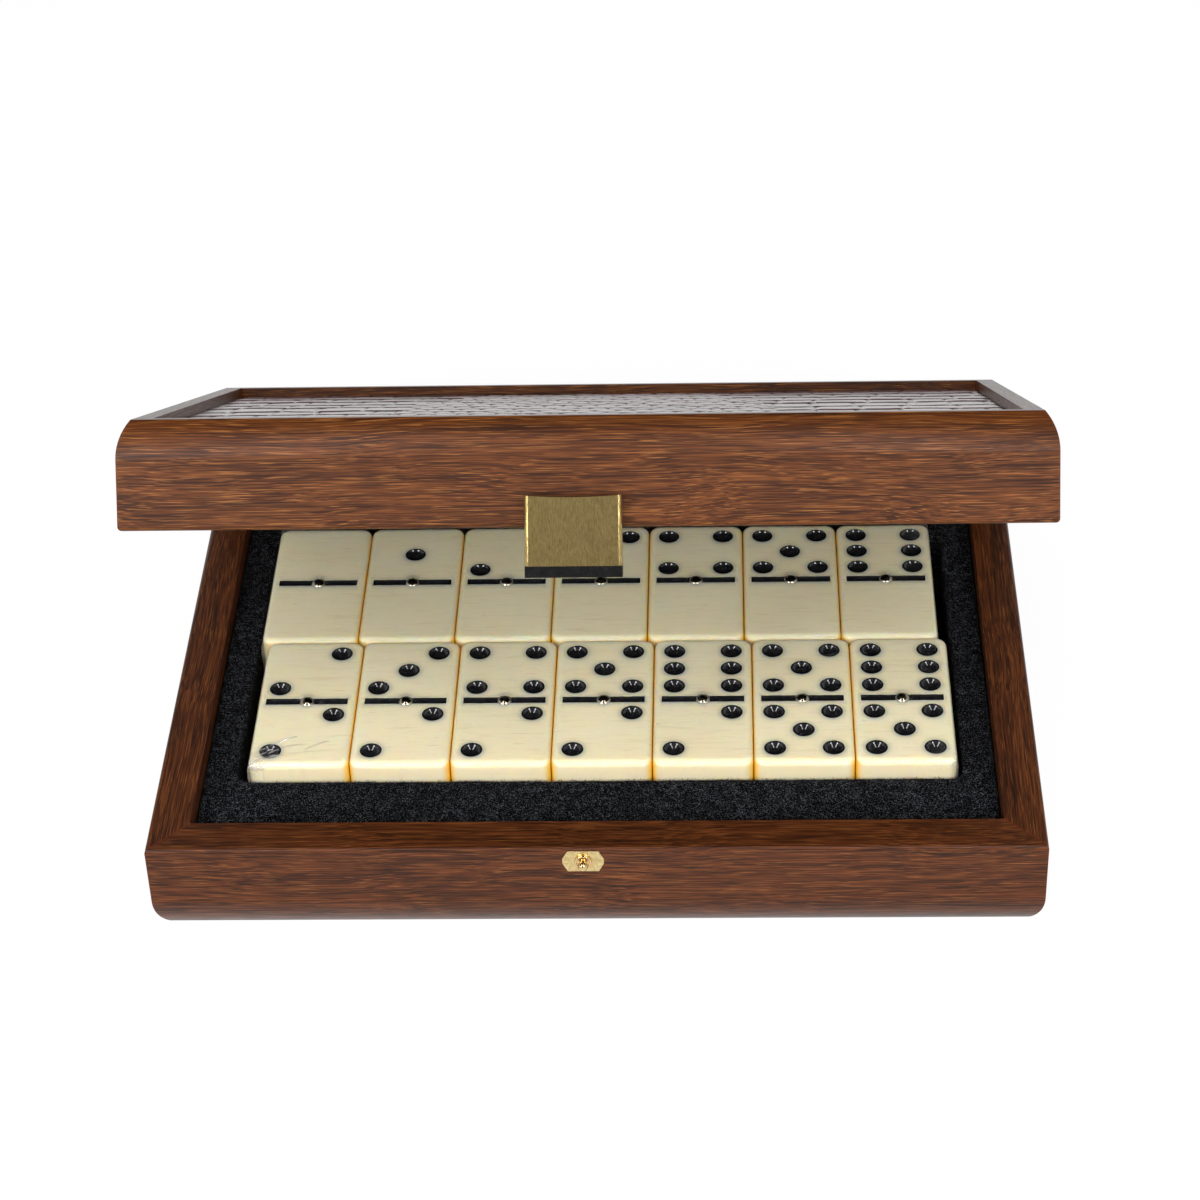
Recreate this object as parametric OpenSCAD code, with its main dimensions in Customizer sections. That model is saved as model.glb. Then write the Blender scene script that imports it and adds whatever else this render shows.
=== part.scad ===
/* [Case] */
// Width of each rail at the face where the two halves meet
rim_w = 11; // [8:0.5:16]
// How far the outer face is set in at the far edge of each half
far_inset = 3.5; // [1:0.2:6]
// Height of the curved part of the moulding
curve_h = 10; // [6:0.5:14]
// Rounding of the outer edge beside the meeting face
edge_r = 1.2; // [0.4:0.2:2]
// Thickness of the bottom board and of the lid board
board_t = 3; // [2:0.5:5]
// Width of the ledge that each board sits on
ledge_w = 2.5; // [1.5:0.1:4]
// Depth of the sunk field above the leather
lid_recess = 2.5; // [1:0.1:4]
// Thickness of the leather on the lid
leather_t = 1.2; // [0.6:0.1:2.5]
// Gap between the two halves when the case is shut
closing_gap = 0.3; // [0.2:0.1:1]
// Angle at which the lid stands open
lid_angle = 30.5; // [0:0.5:180]

/* [Dominoes] */
// Width of a domino
tile_w = 27.7; // [20:0.1:36]
// Length of a domino
tile_l = 55.5; // [40:0.5:72]
// Thickness of a domino
tile_t = 11.4; // [8:0.1:16]
// Radius of the corners in plan
tile_corner_r = 3; // [1:0.1:5]
// Radius of the long and short edges
tile_edge_r = 1.8; // [0.5:0.1:3]
// Gap between two dominoes side by side
tile_gap = 0.15; // [0.05:0.05:1]
// Gap between the pins of the lower layer and the dominoes on top of them
layer_gap = 0.05; // [0.05:0.05:1]
// Diameter of a pip at the face
pip_d = 6.1; // [3:0.1:7]
// Depth of a pip
pip_depth = 2.1; // [0.4:0.1:2.4]
// Distance of the pip columns from the side
pip_side = 5.8; // [4:0.1:8]
// Distance of the outer pip row from the end
pip_end = 6.1; // [4:0.1:8]
// Distance of the inner pip row from the middle
pip_inner = 5.9; // [4.5:0.1:8]
// Gap between the divider and the side
divider_side = 2.3; // [1:0.1:5]
// Width of the divider groove
divider_w = 2.6; // [1:0.1:3]
// Depth of the divider groove
divider_depth = 0.5; // [0.2:0.1:1]
// Diameter of the spinner pin's head
spinner_d = 4.1; // [3.4:0.1:5]
// Depth of the seat under the spinner pin's head
spinner_seat = 0.6; // [0.5:0.1:0.7]
// Height of the spinner pin's dome above the face
spinner_rise = 1; // [0.1:0.1:1]
// Diameter of the spinner pin's shank
spinner_shank_d = 1.6; // [1:0.1:2.2]
// Length of the spinner pin's shank
spinner_shank_l = 6; // [3:0.5:7]
// Thickness of the clear wrap around the dominoes
wrap_t = 0.1; // [0.05:0.05:0.3]
// Gap between the wrap and the dominoes or their pins
wrap_gap = 0.15; // [0.1:0.05:0.5]
// How far the rim of the base stands above the dominoes' faces
rim_rise = 0.45; // [0.05:0.05:4]

/* [Foam] */
// Width of the foam at the left and the right of the well
foam_side = 9; // [5:0.5:20]
// Width of the foam in front of the well
foam_front = 23.6; // [8:0.1:40]
// Width of the foam behind the well
foam_back = 11.25; // [8:0.05:40]
// Gap at each side of the dominoes in the well
well_side_gap = 2.6; // [1:0.1:6]
// Gap at each end of the dominoes in the well
well_end_gap = 1; // [0.5:0.1:4]
// Distance from the rim down to the foam
foam_drop = 5.4; // [2:0.1:10]
// Thickness of the felt under the dominoes
felt_t = 1.1; // [0.6:0.1:3]
// Gap between a lining and the wood around it
lining_gap = 0.1; // [0.05:0.05:0.5]
// Gap between the wrap and the pad in the lid when the case is shut
pad_gap = 0.6; // [0.3:0.1:4]
// How far the back row stands to the left in the well
back_row_shift = 1.2; // [0:0.1:2]
// How far the front row stands to the right in the well
front_row_shift = 0.9; // [0:0.1:2]

/* [Clasp] */
// Distance of the clasp to the left of the middle
clasp_offset = 3.1; // [0:0.1:20]
// Width of the brass clasp plate
clasp_w = 24.8; // [16:0.2:36]
// Height of the brass clasp plate
clasp_h = 18; // [14:0.1:26]
// How far the clasp plate reaches above the lid's lower edge
clasp_above = 8.7; // [6:0.1:12]
// Thickness of the clasp plate
clasp_t = 0.8; // [0.6:0.1:1]
// Depth of the plate's folded sides
clasp_fold = 2; // [1:0.1:4]
// Outer radius of the clasp plate's bends
clasp_bend = 1.1; // [1:0.1:2]
// How far the clasp plate's top edge dips in the middle
clasp_dip = 0.5; // [0.1:0.05:0.5]
// Extra rounding of the block's corners inside those bends
block_ease = 0.1; // [0.05:0.05:0.3]
// How far the black block reaches below the plate
block_below = 2.9; // [1:0.1:5]
// Depth of the black block behind the plate
block_t = 4.8; // [4.2:0.1:8]
// Diameter of the two clasp screws
clasp_screw_d = 2; // [1.5:0.1:3]
// Length of the clasp screws in the wood
clasp_screw_l = 6; // [4:0.5:8]
// Diameter of the clasp screws' heads
clasp_head_d = 3.6; // [3:0.1:4.5]
// Height of the clasp screws' heads
clasp_head_h = 1; // [0.6:0.1:2]
// Distance between the clasp screws
clasp_screw_apart = 15.4; // [11:0.2:18]
// Distance of the stud below the rim
stud_drop = 4.4; // [4:0.1:7]
// Diameter of the stud's ball
ball_d = 2.8; // [2:0.1:4]
// Diameter of the stud's neck
neck_d = 1.7; // [1:0.1:2]
// Diameter of the stud's collar
collar_d = 4.7; // [3.5:0.1:6]
// Thickness of the stud's collar
collar_t = 0.3; // [0.3:0.1:1]
// Thickness of the raised ring round the stud's collar
collar_ring = 0.7; // [0.4:0.1:1]
// How far that ring is sunk into the collar
ring_sink = 0.25; // [0.1:0.05:0.25]
// Length of the stud's neck between the collar and the ball
neck_l = 0.1; // [0.1:0.1:1]
// Diameter of the stud's shank in the wood
stud_shank_d = 1.8; // [1.2:0.1:2.5]
// Length of the stud's shank in the wood
stud_shank_l = 7; // [4:0.5:9]
// Width of the stud plate
stud_plate_w = 11.1; // [8:0.1:16]
// Height of the stud plate
stud_plate_h = 7; // [6:0.1:8]
// Thickness of the stud plate
stud_plate_t = 0.3; // [0.3:0.1:1]
// Length of the stud plate's long flats
stud_plate_flat = 8.3; // [6:0.1:10]
// Length of the stud plate's short flats
stud_plate_side = 1.7; // [0.6:0.1:3]
// Gap between the clasp and the half that it closes on
clasp_gap = 0.3; // [0.3:0.05:1]
// Diameter of the snap spring's wire
wire_d = 0.6; // [0.4:0.1:0.8]

/* [Hinges] */
// Distance of each hinge's middle from the side of the case
hinge_in = 48; // [30:1:80]
// Length of a hinge
hinge_l = 30; // [20:1:40]
// Thickness of a hinge leaf
leaf_t = 0.8; // [0.5:0.1:1.2]
// Depth of a hinge leaf over the rail
leaf_d = 8; // [6:0.5:10]
// Diameter of the knuckles
knuckle_d = 3.2; // [2.6:0.1:5]
// Diameter of the hinge pin
pin_d = 1.6; // [1.2:0.1:2]
// Gap around the pin in the lid's knuckle
pin_gap = 0.05; // [0.02:0.01:0.1]
// Gap between two knuckles
knuckle_gap = 0.3; // [0.2:0.05:0.5]
// Gap between the knuckles and the wood behind them
knuckle_out = 0.35; // [0.3:0.05:1]
// Diameter of the hinge screws
hinge_screw_d = 1.8; // [1.2:0.1:2.4]
// Length of the hinge screws in the wood
hinge_screw_l = 8; // [4:0.5:10]
// Diameter of the hinge screws' heads
screw_head_d = 3.2; // [2.6:0.1:4]
// Height of the hinge screws' heads
screw_head_h = 0.6; // [0.4:0.1:0.8]
// Distance between the two screws of a leaf
hinge_screw_apart = 20; // [12:0.5:28]
// Play between a hinge leaf and its seat in the wood
leaf_fit = 0.1; // [0.05:0.05:0.3]

/* [Hidden] */
// Each domino is written as the pips at its back end and at its front end.
upper_back_row = [[0, 0], [1, 0], [2, 0], [3, 0], [4, 0], [5, 0], [6, 0]];
upper_front_row = [[2, 2], [3, 2], [4, 2], [5, 2], [6, 2], [5, 5], [6, 5]];
lower_back_row = [[1, 1], [2, 1], [3, 1], [4, 1], [5, 1], [6, 1], [3, 3]];
lower_front_row = [[4, 3], [5, 3], [6, 3], [4, 4], [5, 4], [6, 4], [6, 6]];

$fn = 48;
eps = 0.01;
cut = 1;

// Layers of the base, counted up from the underside
columns = len(upper_back_row);
felt_z = board_t;
lower_tile_z = felt_z + felt_t;
upper_tile_z = lower_tile_z + tile_t + spinner_rise + layer_gap;
wrap_top_z = upper_tile_z + tile_t + spinner_rise + wrap_gap + wrap_t;
half_h = upper_tile_z + tile_t + rim_rise;

// Plan sizes, worked out from the dominoes to the outside
pitch_x = tile_w + tile_gap;
row_w = columns * pitch_x - tile_gap;
rows_d = 2 * tile_l + tile_gap;
well_w = row_w + 2 * well_side_gap;
well_d = rows_d + 2 * well_end_gap;
inner_w = well_w + 2 * foam_side;
inner_d = well_d + foam_front + foam_back;
case_w = inner_w + 2 * rim_w;
case_d = inner_d + 2 * rim_w;
well_y = (foam_front - foam_back) / 2;
front_row_y = well_y - (tile_l + tile_gap) / 2;
back_row_y = well_y + (tile_l + tile_gap) / 2;

// Rows of dominoes: the dominoes from left to right, and the row's x, y and z
upper_back = [upper_back_row, -back_row_shift, back_row_y, upper_tile_z];
upper_front = [upper_front_row, front_row_shift, front_row_y, upper_tile_z];
lower_back = [lower_back_row, -back_row_shift, back_row_y, lower_tile_z];
lower_front = [lower_front_row, front_row_shift, front_row_y, lower_tile_z];
domino_rows = [upper_back, upper_front, lower_back, lower_front];

// Pips and spinner pins, whose round faces are parts of spheres
pip_x = tile_w / 2 - pip_side;
pip_row_mid = (pip_inner + tile_l / 2 - pip_end) / 2;
pip_row_step = (tile_l / 2 - pip_end - pip_inner) / 2;
pip_r = dome_radius(pip_d, pip_depth);
spinner_r = dome_radius(spinner_d, spinner_seat + spinner_rise);

// Moulding of both halves
curve_r = (curve_h * curve_h + far_inset * far_inset) / (2 * far_inset);
rebate_in = rim_w - ledge_w;
lid_rebate = lid_recess + leather_t + board_t;

// Hinge axis, just behind the back rails and halfway up the closing gap
hinge_y = case_d / 2 + knuckle_out + knuckle_d / 2;
hinge_z = half_h + closing_gap / 2;
lid_z = half_h + closing_gap;
pad_rise = wrap_top_z + pad_gap - lid_z;
hinge_x = case_w / 2 - hinge_in;
knuckle_l = (hinge_l - 2 * knuckle_gap) / 3;
hinge_screw_x = hinge_screw_apart / 2;
hinge_screw_y = case_d / 2 - leaf_d / 2;

// Clasp and stud, where the stud's ball stands in the block's channel when the case is shut
stud_z = half_h - stud_drop;
ball_out = stud_plate_t + collar_t + neck_l + ball_d / 2;
clasp_depth = clasp_t + clasp_fold;
dip_r = ((clasp_w / 2) ^ 2 + clasp_dip ^ 2) / (2 * clasp_dip);
block_top = clasp_above - clasp_t;
block_bottom = clasp_above - clasp_h - block_below;
collar_channel_w = collar_d + 2 * clasp_gap;
ring_out = stud_plate_t + collar_t - ring_sink + collar_ring / 2;
collar_channel_d = ring_out + collar_ring / 2 + clasp_gap;
ball_channel_d = ball_out + ball_d / 2 + clasp_gap;
pocket_w = stud_plate_w + 2 * clasp_gap;
pocket_top = -stud_drop - closing_gap + stud_plate_h / 2 + 2 * clasp_gap;
pocket_d = stud_plate_t + 2 * clasp_gap;
wire_x = ball_d / 2 + wire_d / 2 + clasp_gap / 2;
ball_channel_w = 2 * wire_x + wire_d;
bend_z = pocket_top - wire_x - wire_d / 2;
clasp_screw_x = clasp_screw_apart / 2;
clasp_screw_z = block_top / 2 + edge_r / 2;

// Radius of the sphere whose cap has the given diameter and height.
function dome_radius(d, h) = (d * d / 4 + h * h) / (2 * h);

// Places its children on the lid, whose own height starts at the meeting face.
module on_lid() {
    translate([0, hinge_y, hinge_z])
        rotate([-lid_angle, 0, 0])
            translate([0, -hinge_y, lid_z - hinge_z])
                children();
}

// Turns the moulding over, so that its meeting face is the rim of the base.
module on_base() {
    translate([0, 0, half_h])
        mirror([0, 0, 1])
            children();
}

// Cross-section of the moulding: x runs inwards from the outer face, y away from the meeting face.
module moulding_section(rebate_h) {
    difference() {
        union() {
            square([rim_w, half_h - curve_h]);
            intersection() {
                translate([curve_r, half_h - curve_h])
                    circle(r = curve_r, $fn = 96);
                translate([0, half_h - curve_h - eps])
                    square([rim_w, curve_h + eps]);
            }
        }
        difference() {
            translate([-cut, -cut])
                square([edge_r + cut, edge_r + cut]);
            translate([edge_r, edge_r])
                circle(r = edge_r);
        }
        translate([rebate_in, half_h - rebate_h])
            square([rim_w - rebate_in + cut, rebate_h + cut]);
    }
}

// One rail of the given length along X, with its outer face at y = -across / 2 and mitred ends.
module rail(length, across, rebate_h) {
    intersection() {
        translate([-length / 2, -across / 2, 0])
            rotate([90, 0, 90])
                linear_extrude(length)
                    moulding_section(rebate_h);
        translate([0, -across / 2, -cut])
            linear_extrude(half_h + 2 * cut)
                polygon([[-length / 2, 0], [length / 2, 0],
                         [length / 2 - rim_w - cut, rim_w + cut], [-length / 2 + rim_w + cut, rim_w + cut]]);
    }
}

module rounded_plate(w, d, h, r) {
    linear_extrude(h)
        rounded_rectangle(w, d, r);
}

module rounded_rectangle(w, d, r) {
    square([w - 2 * r, d], center = true);
    square([w, d - 2 * r], center = true);
    for (sx = [-1, 1], sy = [-1, 1])
        translate([sx * (w / 2 - r), sy * (d / 2 - r)])
            circle(r = r);
}

// Countersunk wood screw with its head's top at z = 0, pointing down.
module wood_screw(d, head_d, head_h, length) {
    translate([0, 0, -head_h])
        cylinder(d1 = d, d2 = head_d, h = head_h);
    translate([0, 0, -head_h - length])
        cylinder(d = d, h = length + eps);
}

// Room for a wood screw: the countersink and the hole below it.
module screw_hole(d, head_d, head_h, length) {
    wood_screw(d, head_d, head_h, length);
    translate([0, 0, -eps])
        cylinder(d = head_d, h = cut);
}

/* ---- rails ---- */

// Seats for both hinge leaves and their screws, cut in the meeting face of a back rail.
module hinge_seats() {
    for (side = [-1, 1])
        translate([side * hinge_x, 0, 0]) {
            translate([-hinge_l / 2 - leaf_fit, case_d / 2 - leaf_d - leaf_fit, -cut])
                cube([hinge_l + 2 * leaf_fit, leaf_d + leaf_fit + cut, leaf_t + cut]);
            for (sx = [-1, 1])
                translate([sx * hinge_screw_x, hinge_screw_y, 0])
                    cylinder(d = hinge_screw_d, h = screw_head_h + hinge_screw_l);
        }
}

module base_front_rail() {
    color("saddlebrown")
        difference() {
            on_base()
                rail(case_w, case_d, board_t);
            translate([-clasp_offset, -case_d / 2 + stud_shank_l, stud_z])
                rotate([90, 0, 0])
                    cylinder(d = stud_shank_d, h = stud_shank_l + cut);
        }
}

module base_back_rail() {
    color("saddlebrown")
        on_base()
            difference() {
                rotate([0, 0, 180])
                    rail(case_w, case_d, board_t);
                hinge_seats();
            }
}

module base_left_rail() {
    color("saddlebrown")
        on_base()
            rotate([0, 0, -90])
                rail(case_d, case_w, board_t);
}

module base_right_rail() {
    color("saddlebrown")
        on_base()
            rotate([0, 0, 90])
                rail(case_d, case_w, board_t);
}

module clasp_screw_holes() {
    for (sx = [-1, 1])
        translate([-clasp_offset + sx * clasp_screw_x, -case_d / 2, clasp_screw_z])
            rotate([-90, 0, 0])
                translate([0, 0, -cut])
                    cylinder(d = clasp_screw_d, h = clasp_screw_l + cut);
}

module lid_front_rail() {
    color("sienna")
        on_lid()
            difference() {
                rail(case_w, case_d, lid_rebate);
                clasp_screw_holes();
            }
}

module lid_back_rail() {
    color("sienna")
        on_lid()
            difference() {
                rotate([0, 0, 180])
                    rail(case_w, case_d, lid_rebate);
                hinge_seats();
            }
}

module lid_left_rail() {
    color("sienna")
        on_lid()
            rotate([0, 0, -90])
                rail(case_d, case_w, lid_rebate);
}

module lid_right_rail() {
    color("sienna")
        on_lid()
            rotate([0, 0, 90])
                rail(case_d, case_w, lid_rebate);
}

/* ---- boards, leather and linings ---- */

module board_plan(h) {
    translate([-case_w / 2 + rebate_in, -case_d / 2 + rebate_in, 0])
        cube([case_w - 2 * rebate_in, case_d - 2 * rebate_in, h]);
}

module bottom_board() {
    color("peru")
        board_plan(board_t);
}

module lid_board() {
    color("peru")
        on_lid()
            translate([0, 0, half_h - lid_rebate])
                board_plan(board_t);
}

module lid_leather() {
    color("rosybrown")
        on_lid()
            translate([0, 0, half_h - lid_recess - leather_t])
                board_plan(leather_t);
}

module lining_block(z, h) {
    translate([-inner_w / 2 + lining_gap, -inner_d / 2 + lining_gap, z])
        cube([inner_w - 2 * lining_gap, inner_d - 2 * lining_gap, h]);
}

module foam_tray() {
    color("dimgray")
        difference() {
            lining_block(board_t, half_h - foam_drop - board_t);
            translate([0, well_y, board_t - cut])
                rounded_plate(well_w, well_d, half_h, tile_corner_r);
        }
}

module well_felt() {
    color("black")
        translate([0, well_y, felt_z])
            rounded_plate(well_w - 2 * lining_gap, well_d - 2 * lining_gap, felt_t, tile_corner_r);
}

module lid_foam_pad() {
    color("dimgray")
        on_lid()
            lining_block(pad_rise, half_h - lid_rebate - pad_rise);
}

/* ---- dominoes ---- */

function domino_name(ends) = str("domino_", ends[0], "_", ends[1]);

// Column and row, each -1, 0 or 1, of every pip for a value; the twos and threes lie on a diagonal.
function pip_places(value) =
    value == 0 ? [] :
    value == 1 ? [[0, 0]] :
    value == 2 ? [[-1, -1], [1, 1]] :
    value == 3 ? [[-1, -1], [0, 0], [1, 1]] :
    value == 4 ? [[-1, -1], [1, -1], [-1, 1], [1, 1]] :
    value == 5 ? [[-1, -1], [1, -1], [0, 0], [-1, 1], [1, 1]] :
                 [[-1, -1], [1, -1], [-1, 0], [1, 0], [-1, 1], [1, 1]];

// Dimples of one end; end is 1 at the back and -1 at the front.
module pips(value, end) {
    for (place = pip_places(value))
        translate([place[0] * pip_x, end * pip_row_mid + place[1] * pip_row_step, tile_t - pip_depth + pip_r])
            sphere(r = pip_r);
}

// Domino with rounded edges, its face up, its pips, divider and pin hole cut in the face.
module domino(ends) {
    color("ivory")
        difference() {
            intersection() {
                rounded_plate(tile_w, tile_l, tile_t, tile_corner_r);
                translate([-tile_w / 2, 0, tile_t / 2])
                    rotate([90, 0, 90])
                        rounded_plate(tile_l, tile_t, tile_w, tile_edge_r);
                translate([0, tile_l / 2, tile_t / 2])
                    rotate([90, 0, 0])
                        rounded_plate(tile_w, tile_t, tile_l, tile_edge_r);
            }
            pips(ends[0], 1);
            pips(ends[1], -1);
            translate([divider_side - tile_w / 2, -divider_w / 2, tile_t - divider_depth])
                cube([tile_w - 2 * divider_side, divider_w, divider_depth + cut]);
            translate([0, 0, tile_t - spinner_seat])
                cylinder(d = spinner_d, h = spinner_seat + cut);
            translate([0, 0, tile_t - spinner_seat - spinner_shank_l])
                cylinder(d = spinner_shank_d, h = spinner_shank_l + cut);
        }
}

// Domed pin at the middle of a domino.
module spinner_pin() {
    translate([0, 0, tile_t - spinner_seat]) {
        intersection() {
            translate([0, 0, spinner_seat + spinner_rise - spinner_r])
                sphere(r = spinner_r);
            cylinder(d = spinner_d, h = spinner_seat + spinner_rise + cut);
        }
        translate([0, 0, -spinner_shank_l])
            cylinder(d = spinner_shank_d, h = spinner_shank_l + eps);
    }
}

// Moves its children to one column of a row.
module at_place(row, column) {
    translate([(column - (columns - 1) / 2) * pitch_x + row[1], row[2], row[3]])
        children();
}

module spinner_pins(rows) {
    color("goldenrod")
        for (row = rows, column = [0 : columns - 1])
            at_place(row, column)
                spinner_pin();
}

// Clear wrap: a top and four sides, open below, where the film is gathered and sealed.
module shrink_wrap() {
    color("lightcyan", 0.3)
        translate([(front_row_shift - back_row_shift) / 2, well_y, lower_tile_z])
            difference() {
                wrap_block(wrap_gap + wrap_t, wrap_top_z - lower_tile_z);
                translate([0, 0, -cut])
                    wrap_block(wrap_gap, wrap_top_z - lower_tile_z - wrap_t + cut);
            }
}

module wrap_block(margin, h) {
    rounded_plate(row_w + back_row_shift + front_row_shift + 2 * margin, rows_d + 2 * margin, h,
                  tile_corner_r / 2 + margin);
}

/* ---- hinges ---- */

// Knuckle along X, from the given start, with the pin's hole.
module knuckle(start, hole_d) {
    translate([start, hinge_y, 0])
        rotate([0, 90, 0])
            difference() {
                cylinder(d = knuckle_d, h = knuckle_l);
                translate([0, 0, -cut])
                    cylinder(d = hole_d, h = knuckle_l + 2 * cut);
            }
}

// Flat of a leaf, sunk in the wood from z = 0 to z = leaf_t, with two countersunk holes.
module leaf_flat() {
    difference() {
        translate([-hinge_l / 2, case_d / 2 - leaf_d, 0])
            cube([hinge_l, leaf_d, leaf_t]);
        for (sx = [-1, 1])
            translate([sx * hinge_screw_x, hinge_screw_y, 0])
                mirror([0, 0, 1])
                    screw_hole(hinge_screw_d, screw_head_d, screw_head_h, hinge_screw_l);
    }
}

// Strip that joins the flat to one knuckle, trimmed round the pin's hole.
module leaf_strip(start, drop, hole_d) {
    difference() {
        translate([start, case_d / 2 - eps, 0])
            cube([knuckle_l, hinge_y - case_d / 2, leaf_t]);
        translate([start - cut, hinge_y, drop])
            rotate([0, 90, 0])
                cylinder(d = hole_d, h = knuckle_l + 2 * cut);
    }
}

// One leaf; its knuckles start at the given places, and drop is the axis height from its meeting face.
module hinge_leaf(starts, hole_d) {
    drop = -closing_gap / 2;
    leaf_flat();
    for (start = starts) {
        leaf_strip(start, drop, hole_d);
        translate([0, 0, drop])
            knuckle(start, hole_d);
    }
}

module base_leaf(side) {
    color("goldenrod")
        on_base()
            translate([side * hinge_x, 0, 0])
                hinge_leaf([-hinge_l / 2, hinge_l / 2 - knuckle_l], pin_d);
}

module lid_leaf(side) {
    color("goldenrod")
        on_lid()
            translate([side * hinge_x, 0, 0])
                hinge_leaf([-knuckle_l / 2], pin_d + 2 * pin_gap);
}

module hinge_pin(side) {
    color("darkgoldenrod")
        translate([side * hinge_x - hinge_l / 2, hinge_y, hinge_z])
            rotate([0, 90, 0])
                cylinder(d = pin_d, h = hinge_l);
}

module hinge_screws() {
    color("gold")
        for (side = [-1, 1], sx = [-1, 1])
            translate([side * hinge_x + sx * hinge_screw_x, hinge_screw_y, 0])
                mirror([0, 0, 1])
                    wood_screw(hinge_screw_d, screw_head_d, screw_head_h, hinge_screw_l);
}

/* ---- clasp ---- */

// Half of the stud plate's eight-sided outline, above its middle line.
function stud_plate_half() = [
    [stud_plate_w / 2, stud_plate_side / 2], [stud_plate_flat / 2, stud_plate_h / 2],
    [-stud_plate_flat / 2, stud_plate_h / 2], [-stud_plate_w / 2, stud_plate_side / 2]];

module stud_plate() {
    color("khaki")
        translate([-clasp_offset, -case_d / 2, stud_z])
            rotate([90, 0, 0])
                difference() {
                    linear_extrude(stud_plate_t)
                        polygon(concat(stud_plate_half(), [for (p = stud_plate_half()) -p]));
                    translate([0, 0, -cut])
                        cylinder(d = stud_shank_d, h = stud_plate_t + 2 * cut);
                }
}

module ball_stud() {
    color("gold")
        translate([-clasp_offset, -case_d / 2, stud_z])
            rotate([90, 0, 0]) {
                translate([0, 0, stud_plate_t])
                    cylinder(d = collar_d, h = collar_t);
                translate([0, 0, ring_out])
                    rotate_extrude()
                        translate([(collar_d - collar_ring) / 2, 0])
                            circle(d = collar_ring);
                cylinder(d = neck_d, h = ball_out);
                translate([0, 0, ball_out])
                    sphere(d = ball_d);
                translate([0, 0, -stud_shank_l])
                    cylinder(d = stud_shank_d, h = stud_shank_l + stud_plate_t + eps);
            }
}

// Slot of the given width and depth in the block's back, open below.
module block_slot(w, d) {
    translate([-w / 2, -d, block_bottom - cut])
        cube([w, d + cut, pocket_top - block_bottom + cut]);
}

// Black block with a stepped channel, open below and behind, that comes down over the stud.
module clasp_block() {
    color("black")
        on_lid()
            translate([-clasp_offset, -case_d / 2, 0])
                difference() {
                    union() {
                        translate([-clasp_w / 2, -block_t - clasp_t, block_bottom])
                            linear_extrude(block_top - block_bottom)
                                clasp_outline(clasp_t, block_t + clasp_t, clasp_bend - clasp_t + block_ease);
                        translate([-clasp_w / 2, -block_t - clasp_t, block_bottom])
                            cube([clasp_w, block_t + clasp_t, block_below]);
                    }
                    translate([-clasp_w / 2 - cut, -clasp_gap, block_bottom - cut])
                        cube([clasp_w + 2 * cut, clasp_gap + cut, cut - block_bottom + edge_r]);
                    block_slot(pocket_w, pocket_d);
                    block_slot(collar_channel_w, collar_channel_d);
                    block_slot(ball_channel_w, ball_channel_d);
                    for (sx = [-1, 1])
                        translate([sx * clasp_screw_x, -block_t, clasp_screw_z])
                            rotate([90, 0, 0])
                                screw_hole(clasp_screw_d, clasp_head_d, clasp_head_h, block_t + cut);
                }
}

// Plan of the clasp plate or of what it holds, set in from its outside, with round front corners.
module clasp_outline(inset, depth, r) {
    intersection() {
        translate([clasp_w / 2, depth])
            rounded_rectangle(clasp_w - 2 * inset, 2 * (depth - inset), r);
        square([clasp_w, depth]);
    }
}

// Brass plate bent back round the block at both sides and along the top, which dips in the middle.
module clasp_plate() {
    color("darkkhaki")
        on_lid()
            translate([-clasp_offset - clasp_w / 2, -case_d / 2 - block_t - clasp_t, clasp_above - clasp_h])
                difference() {
                    linear_extrude(clasp_h)
                        clasp_outline(0, clasp_depth, clasp_bend);
                    translate([0, 0, -cut])
                        linear_extrude(clasp_h - clasp_t + cut)
                            clasp_outline(clasp_t, clasp_depth + cut, clasp_bend - clasp_t);
                    translate([clasp_w / 2, -cut, clasp_h - clasp_dip + dip_r])
                        rotate([-90, 0, 0])
                            cylinder(r = dip_r, h = clasp_depth + 2 * cut, $fn = 720);
                }
}

// Hairpin of spring wire in the block's channel, one leg at each side of the stud's ball.
module clasp_spring() {
    color("silver")
        on_lid()
            translate([-clasp_offset, -case_d / 2 - ball_out, 0]) {
                for (sx = [-1, 1])
                    translate([sx * wire_x, 0, block_bottom + wire_d])
                        cylinder(d = wire_d, h = bend_z - block_bottom - wire_d);
                translate([0, 0, bend_z])
                    rotate([90, 0, 0])
                        rotate_extrude(angle = 180)
                            translate([wire_x, 0])
                                circle(d = wire_d);
            }
}

module clasp_screws() {
    color("silver")
        on_lid()
            for (sx = [-1, 1])
                translate([-clasp_offset + sx * clasp_screw_x, -case_d / 2 - block_t, clasp_screw_z])
                    rotate([90, 0, 0])
                        wood_screw(clasp_screw_d, clasp_head_d, clasp_head_h,
                                   block_t + clasp_screw_l - clasp_head_h);
}

base_front_rail();
base_back_rail();
base_left_rail();
base_right_rail();
bottom_board();
foam_tray();
well_felt();
stud_plate();
ball_stud();
shrink_wrap();
spinner_pins([upper_back, upper_front]);  // upper_spinner_pins
spinner_pins([lower_back, lower_front]);  // lower_spinner_pins
base_leaf(-1);  // left_hinge_base_leaf
base_leaf(1);  // right_hinge_base_leaf
hinge_pin(-1);  // left_hinge_pin
hinge_pin(1);  // right_hinge_pin
on_base() hinge_screws();  // base_hinge_screws
lid_front_rail();
lid_back_rail();
lid_left_rail();
lid_right_rail();
lid_board();
lid_leather();
lid_foam_pad();
clasp_plate();
clasp_block();
clasp_spring();
clasp_screws();
lid_leaf(-1);  // left_hinge_lid_leaf
lid_leaf(1);  // right_hinge_lid_leaf
on_lid() hinge_screws();  // lid_hinge_screws
for (row = domino_rows, column = [0 : columns - 1])
    at_place(row, column) domino(row[0][column]);
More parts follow.
